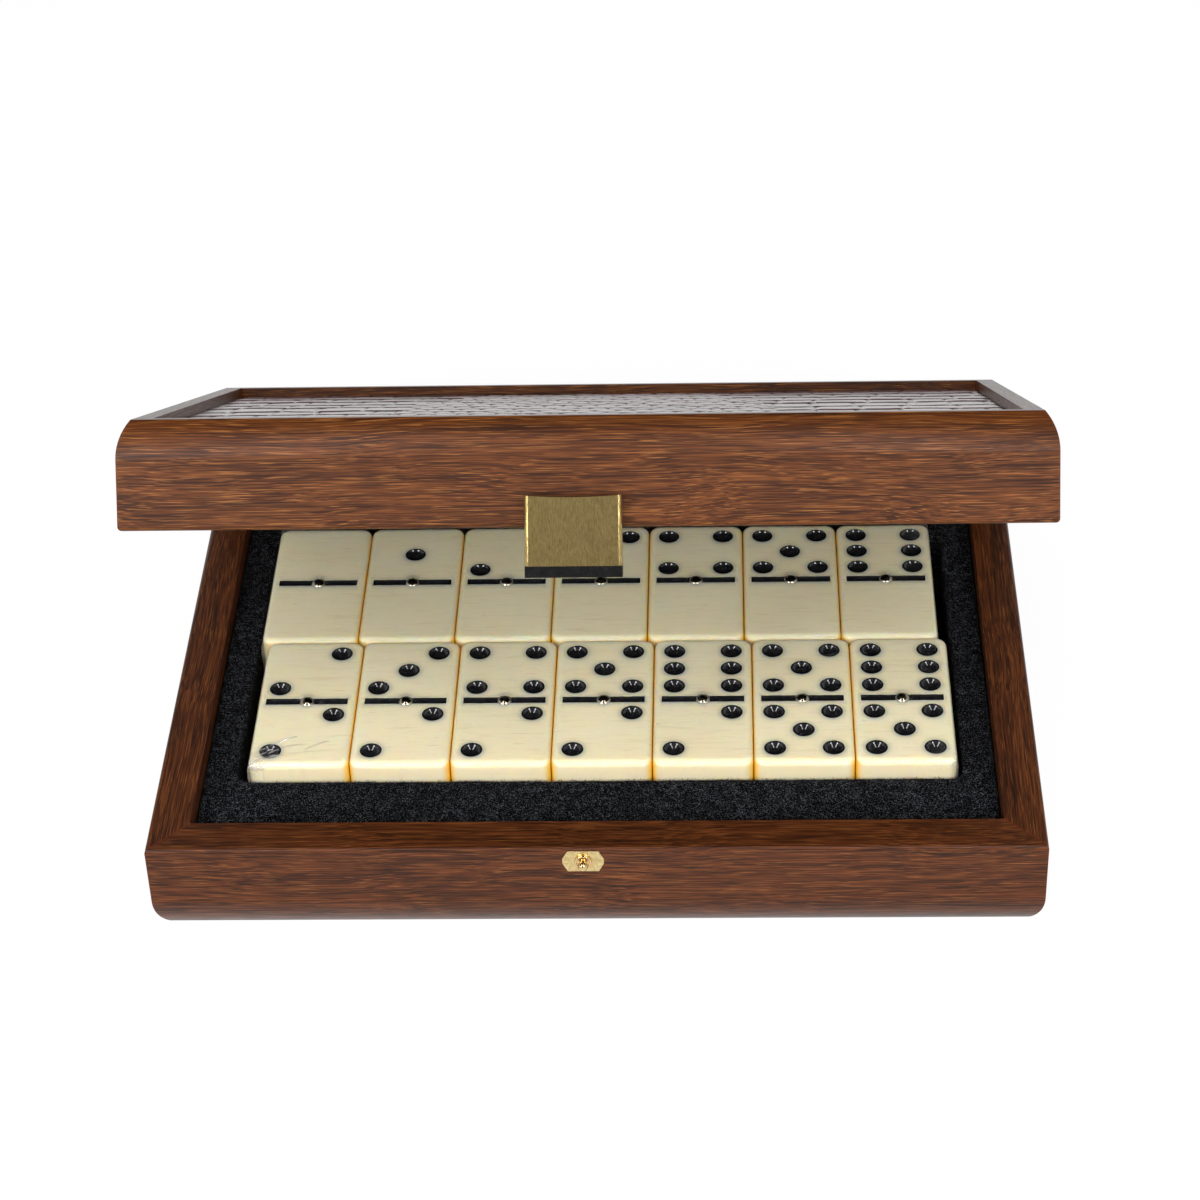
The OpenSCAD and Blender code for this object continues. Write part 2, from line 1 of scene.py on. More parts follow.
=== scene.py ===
"""Domino storage box: a wooden case with a leather-topped lid, a snap clasp and two layers of dominoes."""

import logging
import math
from dataclasses import dataclass, field
from enum import Enum
from typing import Optional, Sequence, Union

import bmesh
import bpy
import numpy as np
from mathutils import Matrix, Vector
from mathutils.geometry import delaunay_2d_cdt


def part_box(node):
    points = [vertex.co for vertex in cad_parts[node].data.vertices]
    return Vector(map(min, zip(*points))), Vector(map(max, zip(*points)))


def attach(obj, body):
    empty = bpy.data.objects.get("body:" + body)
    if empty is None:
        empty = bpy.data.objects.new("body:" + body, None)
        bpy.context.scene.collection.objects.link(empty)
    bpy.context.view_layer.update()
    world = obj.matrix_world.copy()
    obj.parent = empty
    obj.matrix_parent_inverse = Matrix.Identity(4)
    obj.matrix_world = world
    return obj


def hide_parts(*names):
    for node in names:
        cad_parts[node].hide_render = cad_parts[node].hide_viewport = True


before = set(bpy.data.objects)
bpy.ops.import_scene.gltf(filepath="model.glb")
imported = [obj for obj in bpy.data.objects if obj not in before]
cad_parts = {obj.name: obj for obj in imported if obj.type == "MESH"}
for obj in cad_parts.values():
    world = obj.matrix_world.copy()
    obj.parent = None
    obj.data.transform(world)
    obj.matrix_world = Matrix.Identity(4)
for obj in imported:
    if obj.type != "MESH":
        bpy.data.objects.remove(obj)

logging.basicConfig(level=logging.INFO, format="%(name)s: %(message)s")
log = logging.getLogger("domino_box")

MM = 0.001
QUARTER = math.pi / 2
Socket = bpy.types.NodeSocket
Feed = Union[Socket, float, Sequence[float]]
Colour = tuple[float, float, float]


def srgb(red: int, green: int, blue: int) -> Colour:
    """Gives the linear colour of an 8-bit display colour."""
    shares = (v / 255 for v in (red, green, blue))
    return tuple(s / 12.92 if s <= 0.04045 else ((s + 0.055) / 1.055) ** 2.4 for s in shares)


class Half(Enum):
    """The half of the case that a piece belongs to; the value is its body."""

    BASE = "base"
    LID = "lid"


class Grain(Enum):
    """The direction that a rail's or board's grain runs in."""

    ALONG_X = (1, 0)
    ALONG_Y = (0, 1)


@dataclass(frozen=True)
class Case:
    """Sizes that the whole case shares, in millimetres."""

    width: float = 240.0
    depth: float = 170.0
    half_height: float = 28.4
    closing_gap: float = 0.3
    lid_angle: float = 30.5
    hinge_y: float = 86.95
    hinge_z: float = 28.55

    def lid_turn(self) -> Matrix:
        """Gives the turn that opens the lid, as a matrix in millimetres."""
        hinge = Vector((0, self.hinge_y, self.hinge_z))
        turn = Matrix.Rotation(-math.radians(self.lid_angle), 4, "X")
        return Matrix.Translation(hinge) @ turn @ Matrix.Translation(-hinge)

    def lid_base(self) -> float:
        """Gives the height of the lid's meeting face when the case is shut."""
        return self.half_height + self.closing_gap


CASE = Case()


# ---- node trees ----


class Graph:
    """The node tree of one material, with a short call for each kind of node."""

    def __init__(self, name: str) -> None:
        """Starts an empty tree in a new material of the given name."""
        self.material = bpy.data.materials.new(name)
        self.material.use_nodes = True
        self.tree = self.material.node_tree
        self.tree.nodes.clear()

    @classmethod
    def over(cls, tree: bpy.types.NodeTree) -> "Graph":
        """Gives a graph that adds to an existing tree."""
        graph = cls.__new__(cls)
        graph.material, graph.tree = None, tree
        return graph

    def feed(self, socket: Socket, value: Feed) -> None:
        """Links a socket to another, or sets its value.

        Args:
            socket: The input to feed.
            value: A socket to link from, a number, or a vector or colour.
        """
        if isinstance(value, bpy.types.NodeSocket):
            self.tree.links.new(value, socket)
        elif socket.type == "RGBA" and len(value) == 3:
            socket.default_value = (*value, 1.0)
        else:
            socket.default_value = value

    def node(self, kind: str, inputs: dict, **settings: object) -> bpy.types.Node:
        """Adds a node.

        Args:
            kind: The node's type, without its ShaderNode prefix.
            inputs: Values or sockets by input name or index.
            settings: Attributes of the node.

        Returns:
            The new node.
        """
        node = self.tree.nodes.new("ShaderNode" + kind)
        for key, value in settings.items():
            setattr(node, key, value)
        for key, value in inputs.items():
            self.feed(node.inputs[key], value)
        return node

    def math(self, kind: str, a: Feed, b: Feed = 0.0, third: Feed = 0.0, clamp: bool = False) -> Socket:
        """Gives the result of one sum on numbers."""
        return self.node("Math", {0: a, 1: b, 2: third}, operation=kind, use_clamp=clamp).outputs[0]

    def blend(self, share: Feed, a: Feed, b: Feed) -> Socket:
        """Mixes two numbers."""
        return self.node("Mix", {0: share, 2: a, 3: b}, data_type="FLOAT").outputs[0]

    def vector(self, kind: str, a: Feed, b: Feed = (0, 0, 0)) -> Socket:
        """Gives the vector result of one sum on vectors."""
        return self.node("VectorMath", {0: a, 1: b}, operation=kind).outputs[0]

    def parts(self, a: Feed) -> list[Socket]:
        """Gives the x, y and z of a vector."""
        return list(self.node("SeparateXYZ", {0: a}).outputs)

    def joined(self, x: Feed, y: Feed, z: Feed) -> Socket:
        """Gives the vector of three numbers."""
        return self.node("CombineXYZ", {0: x, 1: y, 2: z}).outputs[0]

    def fit(self, value: Feed, low: float, high: float, start: float = 0.0, end: float = 1.0) -> Socket:
        """Maps low..high smoothly to start..end, and holds it beyond them."""
        inputs = {0: value, 1: low, 2: high, 3: start, 4: end}
        return self.node("MapRange", inputs, interpolation_type="SMOOTHSTEP").outputs[0]

    def noise(
        self, where: Feed, scale: float = 1.0, detail: float = 2.0, rough: float = 0.5, bend: float = 0.0
    ) -> Socket:
        """Gives smooth noise from 0 to 1."""
        inputs = {"Vector": where, "Scale": scale, "Detail": detail, "Roughness": rough, "Distortion": bend}
        return self.node("TexNoise", inputs).outputs[0]

    def cell_edges(self, where: Feed, scale: float) -> Socket:
        """Gives the distance to the nearest edge between scattered cells."""
        inputs = {"Vector": where, "Scale": scale}
        return self.node("TexVoronoi", inputs, feature="DISTANCE_TO_EDGE").outputs[0]

    def ramp(self, value: Feed, stops: Sequence[tuple[float, Colour]]) -> Socket:
        """Gives the colour of a value along a row of colour stops."""
        node = self.node("ValToRGB", {0: value})
        row = node.color_ramp.elements
        while len(row) < len(stops):
            row.new(1.0)
        for element, (place, colour) in zip(row, stops):
            element.position, element.color = place, (*colour, 1.0)
        return node.outputs[0]

    def mix(self, share: Feed, a: Feed, b: Feed) -> Socket:
        """Mixes two colours."""
        return self.node("Mix", {0: share, 6: a, 7: b}, data_type="RGBA").outputs[2]

    def times(self, a: Feed, b: Feed) -> Socket:
        """Gives the product of two numbers."""
        return self.math("MULTIPLY", a, b)

    def highest(self, first: Feed, *others: Feed) -> Socket:
        """Gives the greatest of some numbers."""
        for other in others:
            first = self.math("MAXIMUM", first, other)
        return first

    def off_middle(self, value: Feed) -> Socket:
        """Gives how far a value from 0 to 1 is off its middle."""
        return self.math("ABSOLUTE", self.math("SUBTRACT", value, 0.5))

    def attribute(self, name: str) -> Socket:
        """Gives a number that the mesh holds for each point."""
        return self.node("Attribute", {}, attribute_name=name).outputs["Fac"]

    def bump(
        self, height: Feed, depth_mm: float, strength: float = 1.0, normal: Optional[Socket] = None
    ) -> Socket:
        """Gives the normal of a height from 0 to 1 that stands for the given depth."""
        inputs = {"Height": height, "Distance": depth_mm * MM, "Strength": strength}
        if normal is not None:
            inputs["Normal"] = normal
        return self.node("Bump", inputs).outputs[0]

    def place(self, half: Half = Half.BASE) -> Socket:
        """Gives the place in millimetres, in the shut case, of a point on either half."""
        here = self.node("TexCoord", {}).outputs["Object"]
        here = self.vector("MULTIPLY", here, (1000, 1000, 1000))
        if half is Half.BASE:
            return here
        hinge = (0, CASE.hinge_y, CASE.hinge_z)
        away = self.vector("SUBTRACT", here, hinge)
        turn = (math.radians(CASE.lid_angle), 0, 0)
        return self.node("Mapping", {"Vector": away, "Location": hinge, "Rotation": turn}).outputs[0]

    def surface(self, **sockets: Feed) -> bpy.types.Material:
        """Ends the tree in one Principled shader.

        Args:
            sockets: Values or sockets by input name, with _ for a space.

        Returns:
            The finished material.
        """
        inputs = {name.replace("_", " "): value for name, value in sockets.items()}
        shader = self.node("BsdfPrincipled", inputs).outputs[0]
        return self.end(shader)

    def end(self, shader: Socket) -> bpy.types.Material:
        """Links the shader to the output and gives the material."""
        self.node("OutputMaterial", {"Surface": shader})
        return self.material


# ---- finishes ----


@dataclass(frozen=True)
class WoodFinish:
    """Satin varnished, straight-grained dark wood."""

    name: str
    dark: Colour
    middle: Colour
    light: Colour
    fleck: Colour
    roughness: float = 0.46
    joint: Colour = srgb(92, 34, 18)
    joint_mm: tuple[float, float] = (0.32, 0.06)
    sway_mm: float = 3.6
    depth_mm: float = 0.09

    def material(self, grain: Grain, half: Half, mitred: bool = True) -> bpy.types.Material:
        """Makes the material.

        Args:
            grain: The direction of the grain.
            half: The half of the case that it is for.
            mitred: Whether the piece has mitred corners, whose joints show as thin lines.

        Returns:
            The material.
        """
        g = Graph(f"{self.name}_{grain.name.lower()}")
        here = g.place(half)
        along_x, along_y = grain.value
        across = (1 - along_x, 1 - along_y, 1)
        sway = g.noise(g.vector("MULTIPLY", here, (0.018, 0.018, 0.05)), detail=1)
        sway = g.times(g.math("SUBTRACT", sway, 0.5), self.sway_mm)
        push = g.node("VectorMath", {0: across, "Scale": sway}, operation="SCALE").outputs[0]
        warped = g.vector("ADD", here, push)

        def streaks(length: float, thickness: float, detail: float = 2.0, shift: float = 0.0) -> Socket:
            """Gives noise drawn out along the grain, by its streaks' length and thickness in millimetres."""
            scale = [1 / length if a == 0 else 1 / thickness for a in across]
            moved = g.vector("MULTIPLY", g.vector("ADD", warped, (shift, shift, shift)), scale)
            return g.noise(moved, detail=detail, rough=0.6)

        bands = streaks(90, 3.4)
        fibres = streaks(25, 0.34, 2.0)
        flecks = streaks(11, 0.25, 1.0, 40)
        pores = streaks(15, 0.22, 1.0, 90)
        tone = g.math("ADD", g.times(bands, 0.32), g.times(fibres, 0.68))
        colour = g.ramp(tone, [(0.39, self.dark), (0.5, self.middle), (0.6, self.light)])
        colour = g.mix(g.fit(flecks, 0.57, 0.68, 0.0, 0.62), colour, self.fleck)
        colour = g.mix(g.fit(pores, 0.47, 0.37, 0.0, 0.85), colour, self.dark)
        if mitred:
            x, y, _ = g.parts(here)
            side = g.math("SUBTRACT", CASE.width / 2, g.math("ABSOLUTE", x))
            front = g.math("SUBTRACT", CASE.depth / 2, g.math("ABSOLUTE", y))
            off = g.math("ABSOLUTE", g.math("SUBTRACT", side, front))
            colour = g.mix(g.fit(off, *self.joint_mm), colour, self.joint)
        height = g.math("ADD", g.times(fibres, 0.6), g.times(pores, 0.4))
        rough = g.fit(flecks, 0.3, 0.7, self.roughness + 0.07, self.roughness - 0.07)
        return g.surface(
            Base_Color=colour,
            Roughness=rough,
            Normal=g.bump(height, self.depth_mm, 0.6),
            Specular_IOR_Level=0.16,
            Coat_Weight=0.7,
            Coat_Roughness=0.3,
            Coat_IOR=1.14,
        )


@dataclass(frozen=True)
class ResinFinish:
    """Glossy cream resin with pearly streaks, with painted shade on its sides and round the rims of the
    black pips, and a painted amber glow in the gaps between dominoes.
    """

    body: Colour = srgb(246, 234, 199)
    streak: Colour = srgb(206, 182, 138)
    pearl: Colour = srgb(251, 244, 222)
    # Painted shade: a blue-grey tone round the rims of the pips and the groove, for the light that the black
    # paint takes out of the resin.
    stain: Colour = srgb(168, 173, 160)
    # Painted light: an amber glow on the sides that face another domino, for light shining through the resin
    # into the gaps.
    painted_glow_amber: Colour = srgb(255, 202, 74)
    # Painted shade: the sides are drawn darker than the face, for how the light falls on them.
    painted_side_shade: Colour = srgb(226, 214, 180)

    def material(self) -> bpy.types.Material:
        """Makes the material; the mesh holds, at each point, the painted shade round the pips and the
        painted amber glow that deepens into the gaps between dominoes.
        """
        g = Graph("cream_resin")
        here = g.place()
        cloud = g.noise(g.vector("MULTIPLY", here, (0.035, 0.09, 0.09)), detail=2, bend=0.4)
        swirl = g.noise(g.vector("MULTIPLY", here, (0.07, 0.75, 0.6)), detail=3, rough=0.65, bend=0.5)
        hair = g.noise(g.vector("MULTIPLY", here, (0.1, 2.1, 1.5)), detail=2, rough=0.6, bend=0.35)
        colour = g.mix(g.fit(swirl, 0.5, 0.78, 0.0, 0.26), self.body, self.streak)
        colour = g.mix(g.fit(hair, 0.61, 0.72, 0.0, 0.42), colour, self.streak)
        colour = g.mix(g.fit(cloud, 0.35, 0.7, 0.0, 0.2), colour, self.pearl)
        # Painted shade: darker where the surface turns from facing up to facing sideways.
        _, _, up = g.parts(g.node("TexCoord", {}).outputs["Normal"])
        colour = g.mix(g.fit(g.math("ABSOLUTE", up), 0.55, 0.1, 0.0, 0.9), colour, self.painted_side_shade)
        # Painted shade round the pips and the groove.
        colour = g.mix(g.times(g.attribute("stain"), 0.62), colour, self.stain)
        # Painted amber glow, stronger deeper into the gaps.
        colour = g.mix(g.attribute("seam"), colour, self.painted_glow_amber)
        rough = g.fit(swirl, 0.3, 0.7, 0.17, 0.26)
        return g.surface(
            Base_Color=colour,
            Roughness=rough,
            Normal=g.bump(swirl, 0.03, 0.35),
            Subsurface_Weight=0.8,
            Subsurface_Radius=(1.0, 0.72, 0.3),
            Subsurface_Scale=0.0036,
            Coat_Weight=0.25,
            Coat_Roughness=0.08,
        )


@dataclass(frozen=True)
class PipFinish:
    """Glossy black enamel in the pips and the divider."""

    colour: Colour = (0.006, 0.006, 0.007)
    cloudy: Colour = (0.014, 0.013, 0.014)

    def material(self) -> bpy.types.Material:
        """Makes the material."""
        g = Graph("pip_enamel")
        here = g.place()
        flow = g.noise(here, 0.9, 2)
        colour = g.mix(g.fit(flow, 0.4, 0.7), self.colour, self.cloudy)
        return g.surface(
            Base_Color=colour,
            Roughness=g.fit(flow, 0.3, 0.7, 0.06, 0.1),
            Normal=g.bump(flow, 0.02, 0.3),
            IOR=1.5,
            Coat_Weight=0.3,
            Coat_Roughness=0.03,
        )


@dataclass(frozen=True)
class FlockFinish:
    """Black flock or felt, whose fibre ends show as fine pale flecks."""

    name: str
    dark: Colour
    pale: Colour
    fleck_mm: float = 0.42
    share: float = 0.5

    def material(self, half: Half) -> bpy.types.Material:
        """Makes the material for either half of the case."""
        g = Graph(self.name)
        here = g.place(half)
        lint = g.noise(here, 1 / self.fleck_mm, 2, 0.7, 0.8)
        tuft = g.noise(here, 0.45, 3, 0.6)
        patch = g.noise(here, 0.06, 2)
        level = g.math("ADD", lint, g.times(g.math("SUBTRACT", tuft, 0.5), 0.2))
        colour = g.mix(g.fit(level, self.share, self.share + 0.09), self.dark, self.pale)
        colour = g.mix(g.fit(patch, 0.35, 0.65, 0.0, 0.25), colour, self.dark)
        return g.surface(
            Base_Color=colour,
            Roughness=g.fit(tuft, 0.3, 0.7, 0.86, 1.0),
            Normal=g.bump(g.math("ADD", lint, tuft), 0.3, 0.9),
            Sheen_Weight=0.01,
            Sheen_Roughness=0.45,
            Specular_IOR_Level=0.02,
        )


@dataclass(frozen=True)
class LeatherFinish:
    """Embossed leather with painted shade in its creases, and polished on its scales."""

    # Painted shade: the near-black colour that the creases between the scales are drawn in.
    crease: Colour = srgb(14, 8, 9)
    scale: Colour = srgb(98, 62, 62)
    rubbed: Colour = srgb(150, 112, 110)

    def material(self) -> bpy.types.Material:
        """Makes the material; the mesh holds each point's height on its scale."""
        g = Graph("scale_leather")
        here = g.place(Half.LID)
        height = g.attribute("height")
        cloud = g.noise(here, 0.05, 3)
        grain = g.cell_edges(here, 1.9)
        wrinkle = g.noise(g.vector("MULTIPLY", here, (1.2, 0.5, 1.0)), 1.4, 4, 0.65, 0.6)
        # Painted shade: the lower a point lies in a crease, the nearer its colour comes to near-black.
        colour = g.ramp(height, [(0.3, self.crease), (0.62, self.scale), (1.0, self.scale)])
        rub = g.times(g.fit(height, 0.6, 1.0), g.fit(wrinkle, 0.42, 0.66))
        colour = g.mix(g.times(rub, 0.55), colour, self.rubbed)
        colour = g.mix(g.fit(cloud, 0.35, 0.65, 0.0, 0.3), colour, self.crease)
        fine = g.bump(g.fit(grain, 0.0, 0.14), 0.05, 0.5)
        return g.surface(
            Base_Color=colour,
            Roughness=g.fit(height, 0.2, 0.8, 0.66, 0.3),
            Normal=g.bump(wrinkle, 0.16, 0.6, fine),
            Coat_Weight=0.75,
            Coat_Roughness=0.26,
        )


@dataclass(frozen=True)
class BrassFinish:
    """Brass, polished or brushed along one direction of the shut case."""

    name: str
    colour: Colour
    tarnish: Colour
    roughness: float
    brushed: tuple[float, float, float] = (1.0, 1.0, 1.0)
    brush_depth: float = 0.004

    def material(self, half: Half) -> bpy.types.Material:
        """Makes the material for either half of the case."""
        g = Graph(f"{self.name}_{half.value}")
        here = g.place(half)
        lines = g.noise(g.vector("MULTIPLY", here, self.brushed), 1.0, 3, 0.7)
        cloud = g.noise(here, 0.35, 3, 0.6)
        colour = g.mix(g.fit(lines, 0.3, 0.7), self.tarnish, self.colour)
        colour = g.mix(g.fit(cloud, 0.45, 0.75, 0.0, 0.3), colour, self.tarnish)
        return g.surface(
            Base_Color=colour,
            Metallic=1.0,
            Roughness=g.fit(lines, 0.25, 0.75, self.roughness + 0.08, self.roughness - 0.05),
            Normal=g.bump(lines, self.brush_depth, 0.8),
        )


@dataclass(frozen=True)
class PlainFinish:
    """Black moulded plastic or bright steel."""

    name: str
    colour: Colour
    worn: Colour
    metallic: float
    roughness: float

    def material(self, half: Half) -> bpy.types.Material:
        """Makes the material for either half of the case."""
        g = Graph(self.name)
        here = g.place(half)
        pit = g.noise(here, 2.6, 3, 0.6)
        cloud = g.noise(here, 0.4, 2)
        return g.surface(
            Base_Color=g.mix(g.fit(cloud, 0.35, 0.7, 0.0, 0.8), self.colour, self.worn),
            Metallic=self.metallic,
            Roughness=g.fit(pit, 0.3, 0.7, self.roughness - 0.07, self.roughness + 0.09),
            Normal=g.bump(pit, 0.02, 0.4),
        )


@dataclass(frozen=True)
class FilmFinish:
    """Clear film that shows by its glints, and white where it is creased, partly the creased film's own
    whitening and partly a painted highlight for the glints along its folds.
    """

    # Partly the creased film's whitening, partly a painted highlight for the glints of its folds.
    whitening_and_painted_glint: Colour = (0.92, 0.92, 0.9)
    gathered: tuple[float, float] = (-97.2, -50.2)

    def material(self) -> bpy.types.Material:
        """Makes the material; the mesh holds how creased the film is at each point."""
        g = Graph("clear_film")
        here = g.place()
        crease = g.attribute("crease")
        fold = g.attribute("fold")
        x, y, _ = g.parts(g.vector("SUBTRACT", here, (*self.gathered, 0)))
        angle = g.math("ARCTAN2", y, x)
        reach = g.math("SQRT", g.math("ADD", g.times(x, x), g.times(y, y)))
        fan = g.noise(g.joined(g.times(angle, 5.2), g.times(reach, 0.055), 3.7), 1.0, 3, 0.6, 0.7)
        rays = g.fit(g.off_middle(fan), 0.022, 0.004)
        web = g.noise(g.vector("MULTIPLY", here, (0.55, 0.55, 0.3)), 1.0, 3, 0.6, 1.2)
        web = g.fit(g.off_middle(web), 0.022, 0.003)
        gathered = g.highest(rays, g.times(web, g.fit(reach, 9, 2)))
        lines = g.blend(g.fit(reach, 30.0, 24.0), g.times(web, 0.7), gathered)
        scratch = g.noise(g.vector("MULTIPLY", here, (0.09, 0.5, 0.5)), 1.0, 2, 0.55, 1.0)
        scratch = g.fit(g.off_middle(scratch), 0.004, 0.0)
        ripple = g.bump(g.noise(here, 0.6, 3, 0.6, 0.5), 0.05, 0.25)
        ripple = g.bump(g.times(crease, lines), 0.2, 0.8, ripple)
        facing = g.node("LayerWeight", {"Blend": 0.5, "Normal": ripple}).outputs["Facing"]
        glance = g.math("MULTIPLY_ADD", g.math("POWER", facing, 4.0), 0.9, third=0.03)
        clear = g.node("BsdfTransparent", {"Color": (0.995, 0.995, 0.992)}).outputs[0]
        rough = g.math("MULTIPLY_ADD", fold, 0.4, third=0.1)
        gloss = g.node("BsdfGlossy", {"Color": (1, 1, 1), "Roughness": rough, "Normal": ripple}).outputs[0]
        cloudy = g.node("BsdfDiffuse", {"Color": self.whitening_and_painted_glint}).outputs[0]
        shiny = g.highest(fold, g.times(crease, lines))
        share = g.math("MULTIPLY_ADD", shiny, 0.7, third=glance, clamp=True)
        film = g.node("MixShader", {0: share, 1: clear, 2: gloss}).outputs[0]
        # Partly the creased film's whitening, partly a painted highlight: diffuse white along the folds and
        # strokes, for their glints.
        white = g.times(g.math("POWER", crease, 0.6), g.math("MULTIPLY_ADD", lines, 0.35, third=0.06))
        white = g.highest(white, g.times(fold, 0.3), g.times(scratch, 0.1))
        return g.end(g.node("MixShader", {0: white, 1: film, 2: cloudy}).outputs[0])


@dataclass(frozen=True)
class PinFinish:
    """Bright metal, polished on top of each pin and satin round its rim, with painted reflections: darker on
    top for the dark lid it mirrors, paler on the rim for the bright crescent it mirrors.
    """

    # Painted reflection: the top is drawn darker for the dark lid it mirrors, the low rim paler for the
    # bright crescent it mirrors.
    painted_dark_reflection: Colour = srgb(150, 142, 126)
    rim: Colour = srgb(216, 206, 184)
    worn: Colour = srgb(120, 108, 84)
    rim_mm: tuple[float, float] = (28.2, 28.05)

    def material(self) -> bpy.types.Material:
        """Makes the material; the rim starts below the given heights."""
        g = Graph("pin_metal")
        here = g.place()
        wear = g.noise(here, 2.0, 3, 0.7)
        # Painted reflection: paler colour low on the rim, darker above it.
        low = g.fit(g.parts(here)[2], *self.rim_mm)
        colour = g.mix(low, self.painted_dark_reflection, self.rim)
        return g.surface(
            Base_Color=g.mix(g.fit(wear, 0.4, 0.7, 0.0, 0.3), colour, self.worn),
            Metallic=1.0,
            Roughness=g.math("ADD", g.fit(low, 0.0, 1.0, 0.1, 0.3), g.fit(wear, 0.3, 0.7, 0.0, 0.06)),
            Normal=g.bump(wear, 0.003, 0.8),
        )


# Painted light: the lid's wood is a lighter, more orange copy of the base's, for the stronger light that
# falls on the lid's front.
LIGHTER_LIT_LID_WOOD = WoodFinish("lid_wood", srgb(44, 20, 5), srgb(80, 40, 11), srgb(98, 53, 17), srgb(144, 92, 44))
BASE_WOOD = WoodFinish("base_wood", srgb(37, 17, 6), srgb(74, 36, 14), srgb(94, 50, 23), srgb(127, 77, 38))
BOARD_WOOD = WoodFinish(
    "board_wood", srgb(42, 22, 12), srgb(74, 42, 25), srgb(92, 56, 34), srgb(108, 72, 46), roughness=0.55
)
FOAM = FlockFinish("black_flock", (0.001, 0.0011, 0.0015), (0.08, 0.085, 0.095), 0.36, 0.54)
FELT = FlockFinish("black_felt", (0.002, 0.002, 0.003), (0.03, 0.03, 0.033), 0.7, 0.52)
FIBRE = FlockFinish("flock_fibre", (0.004, 0.004, 0.005), (0.1, 0.105, 0.115), 0.9, 0.5)
PLATE_BRASS = BrassFinish(
    "brushed_brass", srgb(206, 182, 122), srgb(118, 98, 56), 0.29, brushed=(6.5, 0.4, 0.6), brush_depth=0.01
)
STAMPED_BRASS = BrassFinish(
    "pale_brass", srgb(232, 210, 156), srgb(200, 174, 118), 0.34, brushed=(1.2, 1.2, 1.2), brush_depth=0.006
)
STUD_BRASS = BrassFinish(
    "stud_brass", srgb(232, 206, 156), srgb(206, 172, 118), 0.14, brushed=(2.0, 2.0, 2.0), brush_depth=0.003
)
HINGE_BRASS = BrassFinish(
    "hinge_brass", srgb(214, 184, 112), srgb(168, 136, 76), 0.24, brushed=(0.2, 3.2, 3.2), brush_depth=0.006
)
PIN_METAL = PinFinish()
BLACK_PLASTIC = PlainFinish("black_plastic", (0.002, 0.002, 0.002), (0.006, 0.005, 0.005), 0.0, 0.2)
STEEL = PlainFinish("bright_steel", (0.58, 0.58, 0.6), (0.4, 0.4, 0.42), 1.0, 0.24)


# ---- meshes ----

TABLE = 4096


def scrambled(x: np.ndarray, y: np.ndarray, z: Union[np.ndarray, int] = 0) -> np.ndarray:
    """Gives a table row for each whole-numbered place, which neighbours don't share."""
    return ((x * 73856093) ^ (y * 19349663) ^ (z * 83492791)) & (TABLE - 1)


def smooth_noise(points: np.ndarray, cell: float, seed: int) -> np.ndarray:
    """Gives smooth noise from -1 to 1 that is the same at each run.

    Args:
        points: The places, one row of three numbers each.
        cell: The size of a lump, in the unit of the points.
        seed: The number that the pattern follows from.

    Returns:
        One value for each place.
    """
    table = np.random.default_rng(seed).uniform(-1, 1, TABLE)
    q = points / cell
    corner = np.floor(q).astype(np.int64)
    share = q - corner
    share = share * share * (3 - 2 * share)
    total = np.zeros(len(points))
    for dx in (0, 1):
        for dy in (0, 1):
            for dz in (0, 1):
                x, y, z = corner[:, 0] + dx, corner[:, 1] + dy, corner[:, 2] + dz
                value = table[scrambled(x, y, z)]
                weight = np.where(dx, share[:, 0], 1 - share[:, 0])
                weight = weight * np.where(dy, share[:, 1], 1 - share[:, 1])
                total += value * weight * np.where(dz, share[:, 2], 1 - share[:, 2])
    return total


def rounded_loop(width: float, depth: float, radius: float, steps: tuple[int, int, int]) -> np.ndarray:
    """Gives the outline of a rounded rectangle, anticlockwise from its lower right side.

    Args:
        width: Size along X.
        depth: Size along Y.
        radius: Radius of the corners.
        steps: Points on each side along Y, on each side along X, and round each corner.

    Returns:
        The points, one row of x and y each; loops of equal steps match point for point.
    """
    along_y, along_x, corner = steps
    x, y = width / 2 - radius, depth / 2 - radius
    points: list[tuple[float, float]] = []
    sides = ((x, y, along_y), (-x, y, along_x), (-x, -y, along_y), (x, -y, along_x))
    for k, (cx, cy, count) in enumerate(sides):
        last = ((x, -y), (x, y), (-x, y), (-x, -y))[k]
        out = np.array([math.cos(k * QUARTER), math.sin(k * QUARTER)]) * radius
        for t in np.linspace(0, 1, count, endpoint=False):
            points.append(tuple(np.array(last) * (1 - t) + np.array((cx, cy)) * t + out))
        for a in np.linspace(0, QUARTER, corner, endpoint=False):
            a += k * QUARTER
            points.append((cx + radius * math.cos(a), cy + radius * math.sin(a)))
    return np.array(points)


def flat_at(outline: np.ndarray, height: float) -> np.ndarray:
    """Gives a flat outline's points at one height."""
    return np.column_stack([outline, np.full(len(outline), height)])


def shape_box(node: str) -> tuple[np.ndarray, np.ndarray]:
    """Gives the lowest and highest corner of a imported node, in millimetres."""
    low, high = (np.array(corner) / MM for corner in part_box(node))
    return low, high


def border_distance(plan: np.ndarray, low: np.ndarray, high: np.ndarray) -> np.ndarray:
    """Gives each point's distance to the nearest side of a rectangle that holds them all."""
    return np.minimum(plan[:, :2] - low[:2], high[:2] - plan[:, :2]).min(1)


def grid_rim(rows: int, columns: int) -> list[int]:
    """Gives the indices of a grid's outermost points, anticlockwise."""
    rim = list(range(columns))
    rim += [r * columns + columns - 1 for r in range(1, rows)]
    rim += [(rows - 1) * columns + c for c in range(columns - 2, -1, -1)]
    return rim + [r * columns for r in range(rows - 2, 0, -1)]


